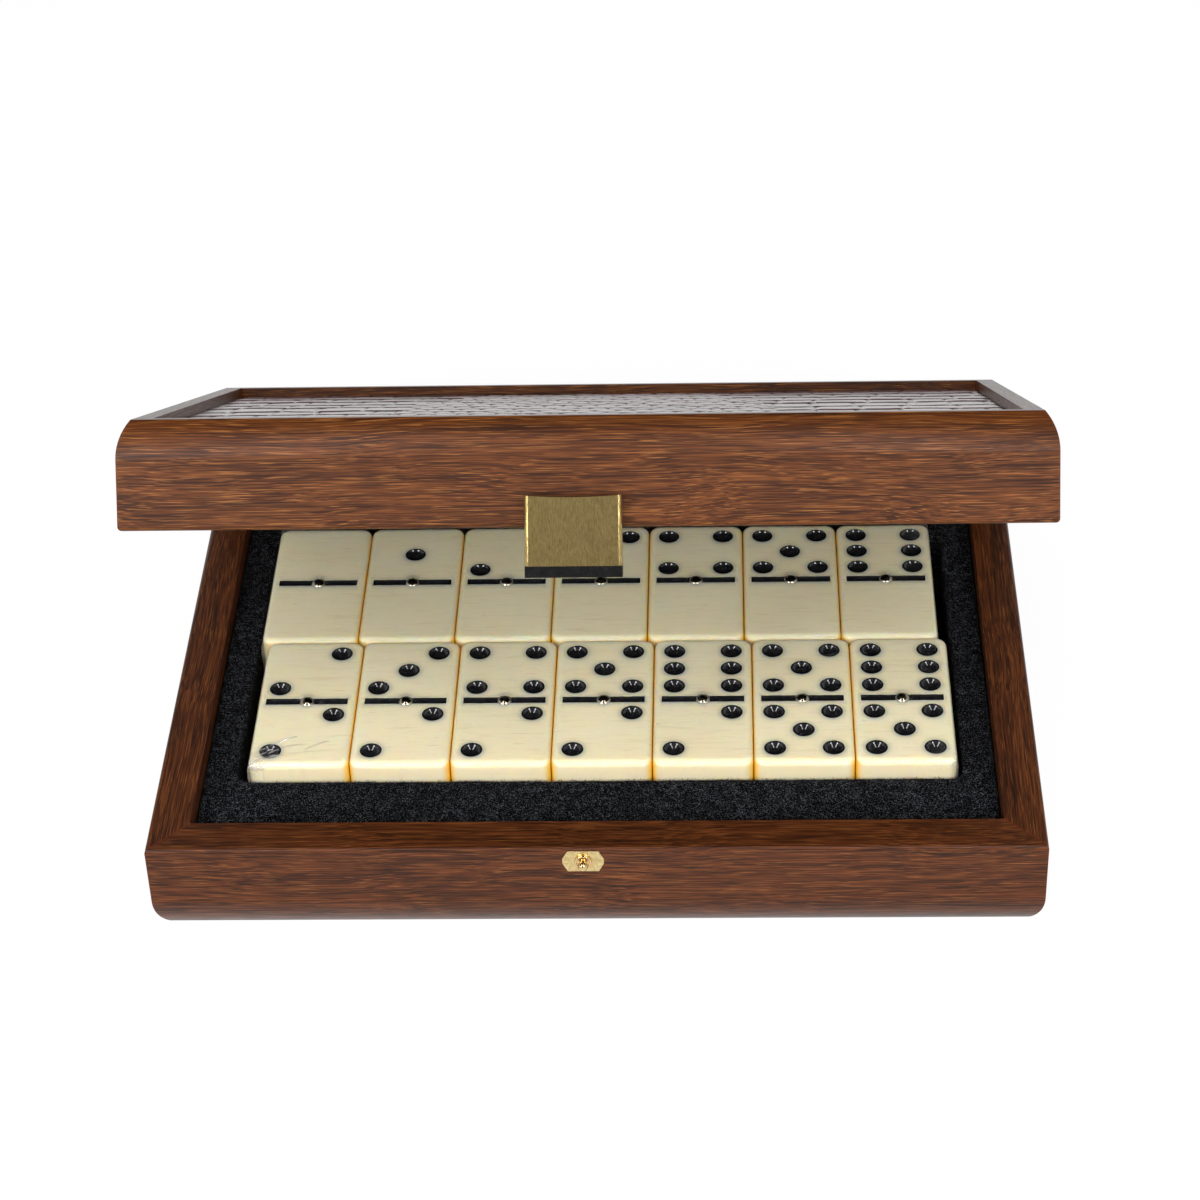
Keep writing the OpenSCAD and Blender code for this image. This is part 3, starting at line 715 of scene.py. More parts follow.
class Piece:
    """A mesh that is being built, in millimetres."""

    def __init__(self) -> None:
        """Starts with no points and no faces."""
        self.points: list[np.ndarray] = []
        self.faces: list[tuple[int, ...]] = []
        self.marks: list[int] = []
        self.values: dict[str, list[np.ndarray]] = {}
        self.count = 0

    def add(self, points: np.ndarray, **values: np.ndarray) -> int:
        """Adds points.

        Args:
            points: The places, one row of three numbers each.
            values: Numbers that the points carry, by attribute name.

        Returns:
            The first new point's index.
        """
        first = self.count
        self.points.append(np.asarray(points, float))
        self.count += len(points)
        for name in set(values) | set(self.values):
            rows = self.values.setdefault(name, [np.zeros(first)] if first else [])
            rows.append(np.broadcast_to(values.get(name, 0.0), (len(points),)))
        return first

    def face(self, corners: Sequence[int], mark: int = 0) -> None:
        """Adds one face of the given material."""
        self.faces.append(tuple(int(c) for c in corners))
        self.marks.append(mark)

    def bridge(self, one: int, other: int, count: int, mark: int = 0) -> None:
        """Joins two closed loops of equal count with quads."""
        for k in range(count):
            j = (k + 1) % count
            self.face((one + k, one + j, other + j, other + k), mark)

    def cap(self, first: int, count: int, mark: int = 0, under: bool = False) -> None:
        """Fills a closed loop with one face, which looks down if it is the underside."""
        loop = range(first, first + count)
        self.face(loop[::-1] if under else loop, mark)

    def skirt(self, upper: Sequence[int], lower: int) -> None:
        """Joins a rim, given by its indices, with the loop of as many points below it."""
        for k in range(len(upper)):
            j = (k + 1) % len(upper)
            self.face((upper[j], upper[k], lower + k, lower + j))

    def grid(self, first: int, rows: int, columns: int, mark: int = 0) -> None:
        """Joins a grid of points with quads."""
        for r in range(rows - 1):
            for c in range(columns - 1):
                a = first + r * columns + c
                self.face((a, a + 1, a + columns + 1, a + columns), mark)

    def finish(
        self,
        name: str,
        materials: Sequence[bpy.types.Material],
        half: Half,
        turned: bool = False,
        sharp: float = 40.0,
        merge: float = 0.0,
    ) -> bpy.types.Object:
        """Makes the object.

        Args:
            name: The piece's name.
            materials: Its materials, in the order of the marks.
            half: The half of the case that it rides on.
            turned: Whether the points are those of the shut lid, to be opened with it.
            sharp: The angle from which an edge is drawn sharp, in degrees.
            merge: The distance under which points become one, in millimetres.

        Returns:
            The object.
        """
        places = np.concatenate(self.points)
        if turned:
            turn = np.array(CASE.lid_turn())
            places = places @ turn[:3, :3].T + turn[:3, 3]
        mesh = bpy.data.meshes.new(name)
        mesh.from_pydata((places * MM).tolist(), [], self.faces)
        for key, rows in self.values.items():
            data = mesh.attributes.new(key, "FLOAT", "POINT").data
            data.foreach_set("value", np.concatenate(rows).astype(np.float32))
        for material in materials:
            mesh.materials.append(material)
        mesh.polygons.foreach_set("material_index", np.array(self.marks, np.int32))
        mesh.polygons.foreach_set("use_smooth", np.ones(len(self.faces), bool))
        if merge:
            weld(mesh, merge * MM)
        mesh.set_sharp_from_angle(angle=math.radians(sharp))
        mesh.update()
        made = bpy.data.objects.new(name, mesh)
        bpy.context.scene.collection.objects.link(made)
        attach(made, half.value)
        log.info("%s: %d faces on %s", name, len(mesh.polygons), half.value)
        return made


def weld(mesh: bpy.types.Mesh, distance: float) -> None:
    """Merges a mesh's points that lie closer than the distance, and makes its faces agree."""
    work = bmesh.new()
    work.from_mesh(mesh)
    bmesh.ops.remove_doubles(work, verts=work.verts, dist=distance)
    bmesh.ops.recalc_face_normals(work, faces=work.faces)
    work.to_mesh(mesh)
    work.free()


def dress(node: str, material: bpy.types.Material, bevel_mm: float = 0.0, segments: int = 2) -> None:
    """Gives a carried-over node its material, and softens its edges.

    Args:
        node: The node's name.
        material: Its material.
        bevel_mm: The radius of its edges, or 0 to leave them.
        segments: The number of faces across a softened edge.
    """
    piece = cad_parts[node]
    piece.data.materials.clear()
    piece.data.materials.append(material)
    if bevel_mm:
        join = piece.modifiers.new("joined_faces", "WELD")
        join.merge_threshold = 0.002 * MM
        soft = piece.modifiers.new("soft_edges", "BEVEL")
        soft.width = bevel_mm * MM
        soft.segments = segments
        soft.limit_method = "ANGLE"
        soft.angle_limit = math.radians(50)
        soft.harden_normals = True
    log.info("%s: dressed with %s", node, material.name)


# ---- case ----


@dataclass
class Rails:
    """The four mitred rails and the board of one half of the case."""

    half: Half
    wood: WoodFinish
    edge_mm: float = 0.35

    def build(self) -> None:
        """Dresses the rails, with the grain along each, and the board."""
        for side in ("front", "back"):
            self.rail(side, Grain.ALONG_X)
        for side in ("left", "right"):
            self.rail(side, Grain.ALONG_Y)
        board = "bottom_board" if self.half is Half.BASE else "lid_board"
        dress(board, BOARD_WOOD.material(Grain.ALONG_X, self.half, False))

    def rail(self, side: str, grain: Grain) -> None:
        """Dresses one rail."""
        material = self.wood.material(grain, self.half)
        dress(f"{self.half.value}_{side}_rail", material, self.edge_mm, 3)


@dataclass
class ScaleLeather:
    """The embossed leather in the lid's sunk field."""

    step: tuple[float, float] = (0.62, 0.4)
    inset: float = 8.5
    recess: float = 2.5
    thickness: float = 1.2
    tuck: float = 0.8
    groove: float = 0.7
    row: float = 15.4
    wide: float = 12.5
    middle: tuple[float, float] = (48.0, 0.13)
    small: tuple[float, float] = (5.0, 11.0)
    seed: int = 11

    def build(self) -> None:
        """Builds the leather as a closed sheet with raised scales."""
        low, high = self.field()
        columns = int((high[0] - low[0]) / self.step[0])
        rows = int((high[1] - low[1]) / self.step[1])
        x, y = np.meshgrid(np.linspace(low[0], high[0], columns), np.linspace(low[1], high[1], rows))
        plan = np.stack([x.ravel(), y.ravel(), np.zeros(x.size)], 1)
        height = self.heights(plan)
        swell = 0.04 * smooth_noise(plan, 24, 3) + 0.05 * smooth_noise(plan, 4, 4)
        tucked = np.clip(border_distance(plan, low, high) / self.tuck, 0, 1) ** 0.5
        plan[:, 2] = high[2] - 0.1 - self.groove * (1 - height * tucked) + swell * tucked
        piece = Piece()
        top = piece.add(plan, height=height * tucked)
        piece.grid(top, rows, columns)
        ring = grid_rim(rows, columns)
        foot = plan[ring].copy()
        foot[:, 2] = low[2]
        under = piece.add(foot)
        piece.skirt(ring, under)
        piece.cap(under, len(ring), under=True)
        leather = LeatherFinish().material()
        sheet = piece.finish("lid_scale_leather", [leather], Half.LID, turned=True, sharp=80)
        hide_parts("lid_leather")

    def field(self) -> tuple[np.ndarray, np.ndarray]:
        """Gives the lowest and highest corner of the leather in the shut lid."""
        top = CASE.lid_base() + CASE.half_height - self.recess
        half = np.array([CASE.width / 2 - self.inset, CASE.depth / 2 - self.inset])
        return np.array([*-half, top - self.thickness]), np.array([*half, top])

    def heights(self, plan: np.ndarray) -> np.ndarray:
        """Gives the height of each point on its scale, from 0 in a crease to 1."""
        wander = 7.0 * smooth_noise(plan * (0.0, 1.0, 0.0) + (3.3, 0, 0), 26, 5)
        wander += 2.5 * smooth_noise(plan, 6, 8)
        inside = np.abs(plan[:, 0] + 3) - (self.middle[0] - self.middle[1] * plan[:, 1] + wander)
        bent = plan.copy()
        bent[:, 0] += 0.9 * smooth_noise(plan, 9, 6)
        bent[:, 1] += 1.5 * smooth_noise(plan, 11, 7)
        return np.where(inside > 0, self.long_scales(bent), self.small_scales(bent))

    def long_scales(self, plan: np.ndarray) -> np.ndarray:
        """Gives the heights of the oblong scales, whose staggered rows lap like tiles."""
        picks = np.random.default_rng(self.seed)
        edges = np.cumsum(picks.uniform(0.82, 1.18, 40)) * self.row - 20 * self.row
        row = np.clip(np.searchsorted(edges, plan[:, 1]) - 1, 0, 38)
        near, far = plan[:, 1] - edges[row], edges[row + 1] - plan[:, 1]
        place = plan[:, 0] / self.wide + picks.uniform(0, 1, 40)[row]
        number = np.floor(place).astype(int)
        seams = picks.uniform(-0.16, 0.16, TABLE)
        left = number + seams[(number * 31 + row * 977) & (TABLE - 1)]
        right = number + 1 + seams[((number + 1) * 31 + row * 977) & (TABLE - 1)]
        beside = np.minimum(np.abs(place - left), np.abs(right - place)) * self.wide
        own = np.where(place < left, number - 1, number)
        level = picks.uniform(0.8, 1.0, TABLE)[(own * 57 + row * 131) & (TABLE - 1)]
        front = 1 - (1 - np.clip(near / 0.6, 0, 1)) ** 2
        back = np.clip(far / 0.7, 0, 1) ** 0.5 * (1 - 0.4 * np.clip(near / (near + far), 0, 1) ** 1.5)
        side = 1 - 0.5 * (1 - np.clip(beside / 1.0, 0, 1)) ** 2
        return front * back * side * level

    def small_scales(self, plan: np.ndarray) -> np.ndarray:
        """Gives the heights of the small rounded scales in the middle."""
        wide, tall = self.small
        q = plan[:, :2] / (wide, tall)
        q[:, 0] += 0.5 * (np.floor(q[:, 1]).astype(int) % 2)
        cell = np.floor(q).astype(np.int64)
        jitter = np.random.default_rng(self.seed + 1).uniform(-0.27, 0.27, (TABLE, 2))
        near = np.zeros((len(plan), 9))
        along = np.zeros((len(plan), 9))
        for k in range(9):
            other = cell + (k % 3 - 1, k // 3 - 1)
            stagger = 0.5 * ((cell[:, 1] % 2) - (other[:, 1] % 2))
            pick = jitter[scrambled(other[:, 0], other[:, 1])]
            away = (other + 0.5 + pick - q) * (wide, wide * 1.3)
            away[:, 0] += stagger * wide
            near[:, k], along[:, k] = np.hypot(*away.T), away[:, 1]
        back = np.clip(0.5 - along[np.arange(len(plan)), near.argmin(1)] / (wide * 1.3), 0, 1)
        near.sort(1)
        crease = np.clip(1 - (near[:, 1] - near[:, 0]) / 1.2, 0, 1) ** 2
        pit = np.clip(1 - (near[:, 2] - near[:, 0]) / 2.0, 0, 1) ** 1.3
        return np.clip(1 - 0.35 * crease - 0.9 * pit - 0.25 * back, 0, 1)


# ---- linings ----


@dataclass
class Flock:
    """Loose fibres that stand out of a flocked surface."""

    count: int
    length: float = 0.75
    width: float = 0.09
    seed: int = 21

    def scatter(self, piece: Piece, places: np.ndarray, out: np.ndarray, mark: int) -> None:
        """Adds fibres to a piece.

        Args:
            piece: The piece that they grow on.
            places: Points of its surface.
            out: The direction away from the surface at each.
            mark: The fibres' material.
        """
        picks = np.random.default_rng(self.seed)
        root = picks.integers(0, len(places), self.count)
        lean = picks.normal(0, 1, (self.count, 3)) + 0.55 * out[root]
        lean -= np.clip((lean * out[root]).sum(1) - 0.9, None, 0)[:, None] * out[root] * 0.6
        lean /= np.linalg.norm(lean, axis=1)[:, None]
        size = self.length * picks.uniform(0.4, 1.3, self.count)[:, None]
        across = np.cross(lean, picks.normal(0, 1, (self.count, 3)))
        across *= self.width / 2 / np.linalg.norm(across, axis=1)[:, None]
        start = places[root] + picks.normal(0, 0.25, (self.count, 3)) * (1 - np.abs(out[root]))
        bend = picks.normal(0, 0.12, (self.count, 3)) * size
        middle = start + lean * size * 0.55 + bend
        tip = start + lean * size
        rows = np.stack([start - across, start + across, middle + across, middle - across, tip], 1)
        first = piece.add(rows.reshape(-1, 3))
        for k in range(self.count):
            a = first + 5 * k
            piece.face((a, a + 1, a + 2, a + 3), mark)
            piece.face((a + 3, a + 2, a + 4), mark)


@dataclass
class FoamTray:
    """The flocked foam that fills the base round the dominoes' well."""

    well: tuple[float, float] = (200.0, 113.15)
    well_y: float = 6.175
    well_corner: float = 3.0
    corner: float = 0.6
    rim: float = 0.7
    lip: float = 0.8
    steps: tuple[int, int, int] = (110, 160, 7)
    fibres: int = 16000

    def build(self) -> None:
        """Builds the tray as one closed ring."""
        low, high = shape_box("foam_tray")
        outer, piece = high - low, Piece()
        loops: list[np.ndarray] = []

        def around(inset: float, z: float) -> None:
            """Adds a loop round the outside."""
            size = outer[:2] - 2 * inset
            loops.append(flat_at(rounded_loop(size[0], size[1], self.corner, self.steps), z))

        def within(grow: float, z: float) -> None:
            """Adds a loop round the well, wider by the given amount."""
            wide, deep = self.well[0] + 2 * grow, self.well[1] + 2 * grow
            flat = rounded_loop(wide, deep, self.well_corner + grow, self.steps) + (0, self.well_y)
            loops.append(flat_at(flat, z))

        for z in np.linspace(low[2], high[2] - self.rim, 5):
            around(0, z)
        for a in np.linspace(0, QUARTER, 5)[1:]:
            around(self.rim * (1 - math.cos(a)), high[2] - self.rim + self.rim * math.sin(a))
        start = loops[-1]
        within(self.lip, high[2])
        end = loops.pop()
        for t in np.linspace(0, 1, 26)[1:]:
            loops.append(start * (1 - t) + end * t)
        for a in np.linspace(0, QUARTER, 8)[1:]:
            within(self.lip * (1 - math.sin(a)), high[2] - self.lip * (1 - math.cos(a)))
        for z in np.linspace(high[2] - self.lip, low[2], 14)[1:]:
            within(0, z)
        count, inner = len(loops[0]), len(loops) - 13
        out = self.directions(np.array(loops))
        lumps = [self.lumpy(points) for points in loops]
        shaped = [p + d * l[:, None] for p, d, l in zip(loops, out, lumps)]
        shaped[0][:, 2] = shaped[-1][:, 2] = low[2]
        first = [piece.add(points) for points in shaped]
        for one, other in zip(first, first[1:] + first[:1]):
            piece.bridge(one, other, count)
        rows = slice(7, inner + 4)
        Flock(self.fibres).scatter(piece, np.concatenate(shaped[rows]), np.concatenate(list(out[rows])), 1)
        flock = [FOAM.material(Half.BASE), FIBRE.material(Half.BASE)]
        tray = piece.finish("flocked_foam_tray", flock, Half.BASE)
        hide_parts("foam_tray")

    @staticmethod
    def directions(loops: np.ndarray) -> np.ndarray:
        """Gives the direction out of the surface at each point of a stack of loops."""
        up = np.roll(loops, -1, 0) - np.roll(loops, 1, 0)
        round_ = np.roll(loops, -1, 1) - np.roll(loops, 1, 1)
        out = np.cross(round_, up)
        return out / np.maximum(np.linalg.norm(out, axis=2), 1e-9)[..., None]

    @staticmethod
    def lumpy(points: np.ndarray) -> np.ndarray:
        """Gives how far each point of the foam stands out."""
        slow = 0.1 * smooth_noise(points, 17, 31) + 0.07 * smooth_noise(points, 4, 32)
        return slow + 0.06 * smooth_noise(points, 1.3, 33) - 0.1


@dataclass
class LidPad:
    """The flocked foam block that fills the lid."""

    steps: tuple[int, int, int] = (90, 130, 6)
    inset: float = 11.1
    below: float = 1.1
    above: float = 6.7
    corner: float = 0.5
    edge: float = 1.2
    side_loops: int = 7
    fibres: int = 5000

    def build(self) -> None:
        """Builds the pad as a closed block with soft edges, its face slightly crowned."""
        inner = (CASE.width - 2 * self.inset, CASE.depth - 2 * self.inset)
        low = CASE.lid_base() + self.below
        high = CASE.lid_base() + CASE.half_height - self.above
        piece = Piece()
        loops: list[np.ndarray] = []
        profile = [(0.0, high), (0.0, low + self.edge)]
        for a in np.linspace(0, QUARTER, 6)[1:]:
            profile.append((self.edge * (1 - math.cos(a)), low + self.edge * (1 - math.sin(a))))
        profile += [(self.edge + t, low) for t in np.linspace(0, CASE.depth / 2 - 20, 34)[1:]]
        for inset, z in profile:
            size = (inner[0] - 2 * inset, inner[1] - 2 * inset)
            loops.append(flat_at(rounded_loop(size[0], size[1], self.corner, self.steps), z))
        for points in loops[self.side_loops :]:
            points[:, 2] += np.abs(FoamTray.lumpy(points) + 0.1)
        first = [piece.add(points) for points in loops]
        for one, other in zip(first, first[1:]):
            piece.bridge(other, one, len(loops[0]))
        piece.cap(first[0], len(loops[0]))
        piece.cap(first[-1], len(loops[0]), under=True)
        face = np.concatenate(loops[self.side_loops :])
        Flock(self.fibres, seed=22).scatter(piece, face, np.tile((0.0, 0.0, -1.0), (len(face), 1)), 1)
        flock = [FOAM.material(Half.LID), FIBRE.material(Half.LID)]
        pad = piece.finish("flocked_lid_pad", flock, Half.LID, turned=True)
        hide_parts("lid_foam_pad")


@dataclass
class WellFelt:
    """The felt on the floor of the well."""

    step: float = 1.0
    corner: float = 3.0
    nap: float = 0.06

    def build(self) -> None:
        """Builds the felt as a thin sheet with a soft, slightly uneven face."""
        low, high = shape_box("well_felt")
        size, middle = high - low, (high + low) / 2
        steps = (int(size[1] / self.step), int(size[0] / self.step), 6)
        outline = rounded_loop(size[0], size[1], self.corner, steps) + middle[:2]
        piece = Piece()
        first = [piece.add(flat_at(outline, low[2]))]
        for share in np.linspace(1, 0.04, 60):
            points = flat_at((outline - middle[:2]) * share + middle[:2], high[2])
            points[:, 2] -= self.nap * (1 + smooth_noise(points, 1.6, 41))
            first.append(piece.add(points))
        for one, other in zip(first, first[1:]):
            piece.bridge(one, other, len(outline))
        piece.cap(first[-1], len(outline))
        piece.cap(first[0], len(outline), under=True)
        felt = piece.finish("well_floor_felt", [FELT.material(Half.BASE)], Half.BASE)
        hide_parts("well_felt")


# ---- dominoes ----


@dataclass(frozen=True)
class DominoSizes:
    """Sizes of one domino, in millimetres."""

    width: float = 27.7
    length: float = 55.5
    thickness: float = 11.4
    corner: float = 3.0
    edge: float = 1.8
    pip: float = 6.1
    pip_depth: float = 2.1
    pip_x: float = 8.05
    pip_middle: float = 13.775
    pip_step: float = 7.875
    divider: tuple[float, float] = (23.1, 2.6)
    divider_depth: float = 0.5
    seat: float = 4.1


SIZES = DominoSizes()


@dataclass
class Domino:
    """One cast domino with dished pips, a divider groove and a seat for its pin."""

    name: str
    centre: tuple[float, float]
    bottom: float
    back: int
    front: int
    beside: tuple[bool, bool, bool, bool]
    steps: tuple[int, int, int] = (26, 13, 8)
    round_steps: int = 6
    dish_points: int = 40

    def pips(self) -> list[tuple[float, float]]:
        """Gives the middle of each pip on the domino's face."""
        diagonal, other = [(-1, -1), (1, 1)], [(1, -1), (-1, 1)]
        places = {0: [], 1: [(0, 0)], 2: diagonal, 3: [(0, 0), *diagonal], 4: diagonal + other}
        places[5] = [(0, 0), *places[4]]
        places[6] = [*places[4], (-1, 0), (1, 0)]
        found = []
        for value, end in ((self.back, 1), (self.front, -1)):
            for across, along in places[value]:
                found.append((across * SIZES.pip_x, end * SIZES.pip_middle + along * SIZES.pip_step))
        return found

    def slot_outline(self) -> np.ndarray:
        """Gives the outline of the divider groove, widened round the pin's seat."""
        half, thin = SIZES.divider[0] / 2, SIZES.divider[1] / 2
        radius = SIZES.seat / 2
        meet = math.asin(thin / radius)
        turns = np.linspace(meet, math.pi - meet, 12)
        upper = [(radius * math.cos(a), radius * math.sin(a)) for a in turns]
        right = [(x, thin) for x in np.linspace(half, upper[0][0] + 0.8, 8)]
        left = [(x, thin) for x in np.linspace(upper[-1][0] - 0.8, -half, 8)]
        top = right + upper + left
        return np.array(top + [(-x, -y) for x, y in top])

    def build(self, materials: Sequence[bpy.types.Material]) -> bpy.types.Object:
        """Builds the domino in its place.

        Args:
            materials: The resin and the enamel.

        Returns:
            The domino.
        """
        piece = Piece()
        self.sides(piece)
        self.top(piece)
        for pip in self.pips():
            self.dish(piece, pip)
        self.groove(piece)
        for points in piece.points:
            points += (*self.centre, self.bottom)
        made = piece.finish(f"cast_{self.name}", materials, Half.BASE, sharp=48, merge=0.004)
        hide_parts(self.name)
        return made

    def outline(self, inset: float) -> np.ndarray:
        """Gives the domino's outline, drawn in by the given amount."""
        wide, long = SIZES.width - 2 * inset, SIZES.length - 2 * inset
        return rounded_loop(wide, long, SIZES.corner - inset, self.steps)

    def sides(self, piece: Piece) -> None:
        """Adds the underside, the rounded edges and the sides."""
        turns = np.linspace(0, QUARTER, self.round_steps)
        rows = [(SIZES.edge * (1 - math.sin(a)), SIZES.edge * (1 - math.cos(a))) for a in turns]
        rows += [(0.0, z) for z in np.linspace(SIZES.edge, SIZES.thickness - SIZES.edge, 6)[1:-1]]
        rows += [(i, SIZES.thickness - z) for i, z in reversed(rows[: self.round_steps])]
        last = None
        for inset, z in rows:
            flat = self.outline(inset)
            # How deep the point lies in a gap, for the painted amber glow.
            deep = float(np.clip((SIZES.thickness - z - 0.45) / 0.9, 0, 1))
            first = piece.add(flat_at(flat, z), seam=deep * self.hidden(flat))
            if last is None:
                piece.cap(first, len(flat), under=True)
            else:
                piece.bridge(last, first, len(flat))
            last = first

    def hidden(self, flat: np.ndarray) -> np.ndarray:
        """Gives how far each point of an outline faces another domino, from 0 to 1, which sets the painted
        amber glow.
        """
        reach = np.array([SIZES.width, SIZES.length]) / 2 - 1.5
        found = np.zeros(len(flat))
        for there, (axis, sign) in zip(self.beside, ((0, -1), (0, 1), (1, -1), (1, 1))):
            if there:
                share = 1.0 if axis == 0 else 0.3
                found = np.maximum(found, share * np.clip((flat[:, axis] * sign - reach[axis]) / 1.2, 0, 1))
        return found

    def circle(self, centre: tuple[float, float], radius: float) -> np.ndarray:
        """Gives the points of a circle on the face."""
        turn = np.linspace(0, 2 * math.pi, self.dish_points, endpoint=False)
        return np.column_stack([centre[0] + radius * np.cos(turn), centre[1] + radius * np.sin(turn)])

    def top(self, piece: Piece) -> None:
        """Adds the face, with a hole for each dish and for the groove."""
        border = self.outline(SIZES.edge)
        slot, pips, lip = self.slot_outline(), self.pips(), SIZES.pip / 2
        points: list[np.ndarray] = [border, slot] + [self.circle(p, lip) for p in pips]
        edges, start = [], 0
        for loop in points:
            edges += [(start + k, start + (k + 1) % len(loop)) for k in range(len(loop))]
            start += len(loop)
        spare = [self.circle(p, lip + away) for p in pips for away in (0.3, 0.75, 1.4)]
        spare += [slot * (1.02, 1.3), slot * (1.05, 1.9)]
        across, along = np.linspace(-11.4, 11.4, 13), np.linspace(-25.4, 25.4, 27)
        spare.append(np.stack(np.meshgrid(across, along), -1).reshape(-1, 2))
        free = np.concatenate(spare)
        flat = np.concatenate([*points, free[self.open_face(free)]])
        made = delaunay_2d_cdt([Vector(p) for p in flat], edges, [], 0, 1e-5)
        places = np.array([tuple(p) for p in made[0]])
        away = np.minimum(self.pip_distance(places), self.slot_distance(places))
        # Painted shade of the resin, strongest at the rims of the pips and the groove.
        stain = np.exp(-((np.clip(away, 0, None) / 0.95) ** 1.6))
        first = piece.add(flat_at(places, SIZES.thickness), stain=stain)
        for face in made[2]:
            middle = places[list(face)].mean(0)[None]
            if self.pip_distance(middle)[0] > 0 and self.slot_distance(middle)[0] > 0:
                piece.face([first + k for k in face])

    def open_face(self, places: np.ndarray) -> np.ndarray:
        """Tells which places lie on the plain face, clear of its border, the pips and the groove."""
        off = np.abs(places)
        half = np.array([SIZES.width, SIZES.length]) / 2
        keep = (self.pip_distance(places) > 0.2) & (off < half - SIZES.edge - 0.3).all(1)
        keep &= ~((off[:, 0] < SIZES.divider[0] / 2 + 0.1) & (off[:, 1] < SIZES.divider[1] / 2 + 0.15))
        keep &= np.hypot(*places.T) > SIZES.seat / 2 + 0.15
        corner = off - (half - SIZES.corner)
        return keep & ~((corner > 0).all(1) & (np.hypot(*corner.T) > SIZES.corner - SIZES.edge - 0.2))

    def pip_distance(self, places: np.ndarray) -> np.ndarray:
        """Gives the distance to the nearest pip's rim, below 0 inside it."""
        found = [np.hypot(places[:, 0] - x, places[:, 1] - y) for x, y in self.pips()]
        return np.minimum.reduce(found) - SIZES.pip / 2 if found else np.full(len(places), 99.0)

    @staticmethod
    def slot_distance(places: np.ndarray) -> np.ndarray:
        """Gives the distance to the divider's outline, at most 0 inside it."""
        over = np.abs(places) - (SIZES.divider[0] / 2, SIZES.divider[1] / 2)
        bar = np.hypot(*np.clip(over, 0, None).T)
        return np.minimum(bar, np.clip(np.hypot(*places.T) - SIZES.seat / 2, 0, None))

    def dish(self, piece: Piece, centre: tuple[float, float]) -> None:
        """Adds one pip as a dish, whose wall is part of a sphere."""
        lip, deep = SIZES.pip / 2, SIZES.pip_depth
        radius = (lip * lip + deep * deep) / (2 * deep)
        widest = math.asin(lip / radius)
        last = None
        for share in (1.0, 0.965, 0.9, 0.82, 0.72, 0.6, 0.47, 0.33, 0.18, 0.08):
            turn = widest * share
            ring = self.circle(centre, radius * math.sin(turn))
            z = SIZES.thickness - radius * (math.cos(turn) - math.cos(widest))
            # Full painted shade in the dish.
            first = piece.add(flat_at(ring, z), stain=np.ones(len(ring)))
            if last is not None:
                piece.bridge(last, first, self.dish_points, 1)
            last = first
        piece.cap(last, self.dish_points, 1)

    def groove(self, piece: Piece) -> None:
        """Adds the walls and the floor of the divider groove."""
        outline = self.slot_outline()
        rims = []
        deep = SIZES.divider_depth
        for z, shrink in ((0.0, 0.0), (0.1, 0.06), (deep - 0.12, 0.1), (deep, 0.22)):
            pull = outline - np.sign(outline) * np.minimum(shrink, np.abs(outline) * 0.4)
            rims.append(piece.add(flat_at(pull, SIZES.thickness - z)))
        for one, other in zip(rims, rims[1:]):
            piece.bridge(one, other, len(outline), 1)
        piece.cap(rims[-1], len(outline), 1)


@dataclass
class DominoSet:
    """The dominoes in their two layers, and the pins in their middles."""

    pitch: float = 27.85
    row_y: tuple[float, float] = (-21.65, 34.0)
    row_shift: tuple[float, float] = (0.9, -1.2)
    layer_z: tuple[float, float] = (4.1, 16.55)
    rows: dict = field(
        default_factory=lambda: {
            (1, 1): ((0, 0), (1, 0), (2, 0), (3, 0), (4, 0), (5, 0), (6, 0)),
            (1, 0): ((2, 2), (3, 2), (4, 2), (5, 2), (6, 2), (5, 5), (6, 5)),
            (0, 1): ((1, 1), (2, 1), (3, 1), (4, 1), (5, 1), (6, 1), (3, 3)),
            (0, 0): ((4, 3), (5, 3), (6, 3), (4, 4), (5, 4), (6, 4), (6, 6)),
        }
    )

    def build(self) -> None:
        """Builds every domino and dresses the pins."""
        materials = [ResinFinish().material(), PipFinish().material()]
        for (layer, row), values in self.rows.items():
            for column, (back, front) in enumerate(values):
                x = (column - 3) * self.pitch + self.row_shift[row]
                centre = (x, self.row_y[row])
                beside = (column > 0, column < 6, row == 1, row == 0)
                name = f"domino_{back}_{front}"
                Domino(name, centre, self.layer_z[layer], back, front, beside).build(materials)
        brass = PIN_METAL.material()
        dress("upper_spinner_pins", brass)
        dress("lower_spinner_pins", brass)


@dataclass(frozen=True)
class Fold:
    """One sharp wrinkle in the film, from one place on its top to another."""

    start: tuple[float, float]
    end: tuple[float, float]
    width: float = 0.2
    strength: float = 1.0

    def shape(self, plan: np.ndarray) -> np.ndarray:
        """Gives how far the wrinkle stands at each point, from 0 to 1, tapering at both ends."""
        away = plan[:, :2] - self.start
        run = np.array(self.end) - self.start
        length = np.linalg.norm(run)
        along = np.clip(away @ run / length**2, 0, 1)
        off = (away[:, 0] * run[1] - away[:, 1] * run[0]) / length + 0.35 * np.sin(np.pi * along)
        taper = np.sin(np.pi * along) ** 0.7
        return self.strength * taper * np.exp(-((off / self.width) ** 2))


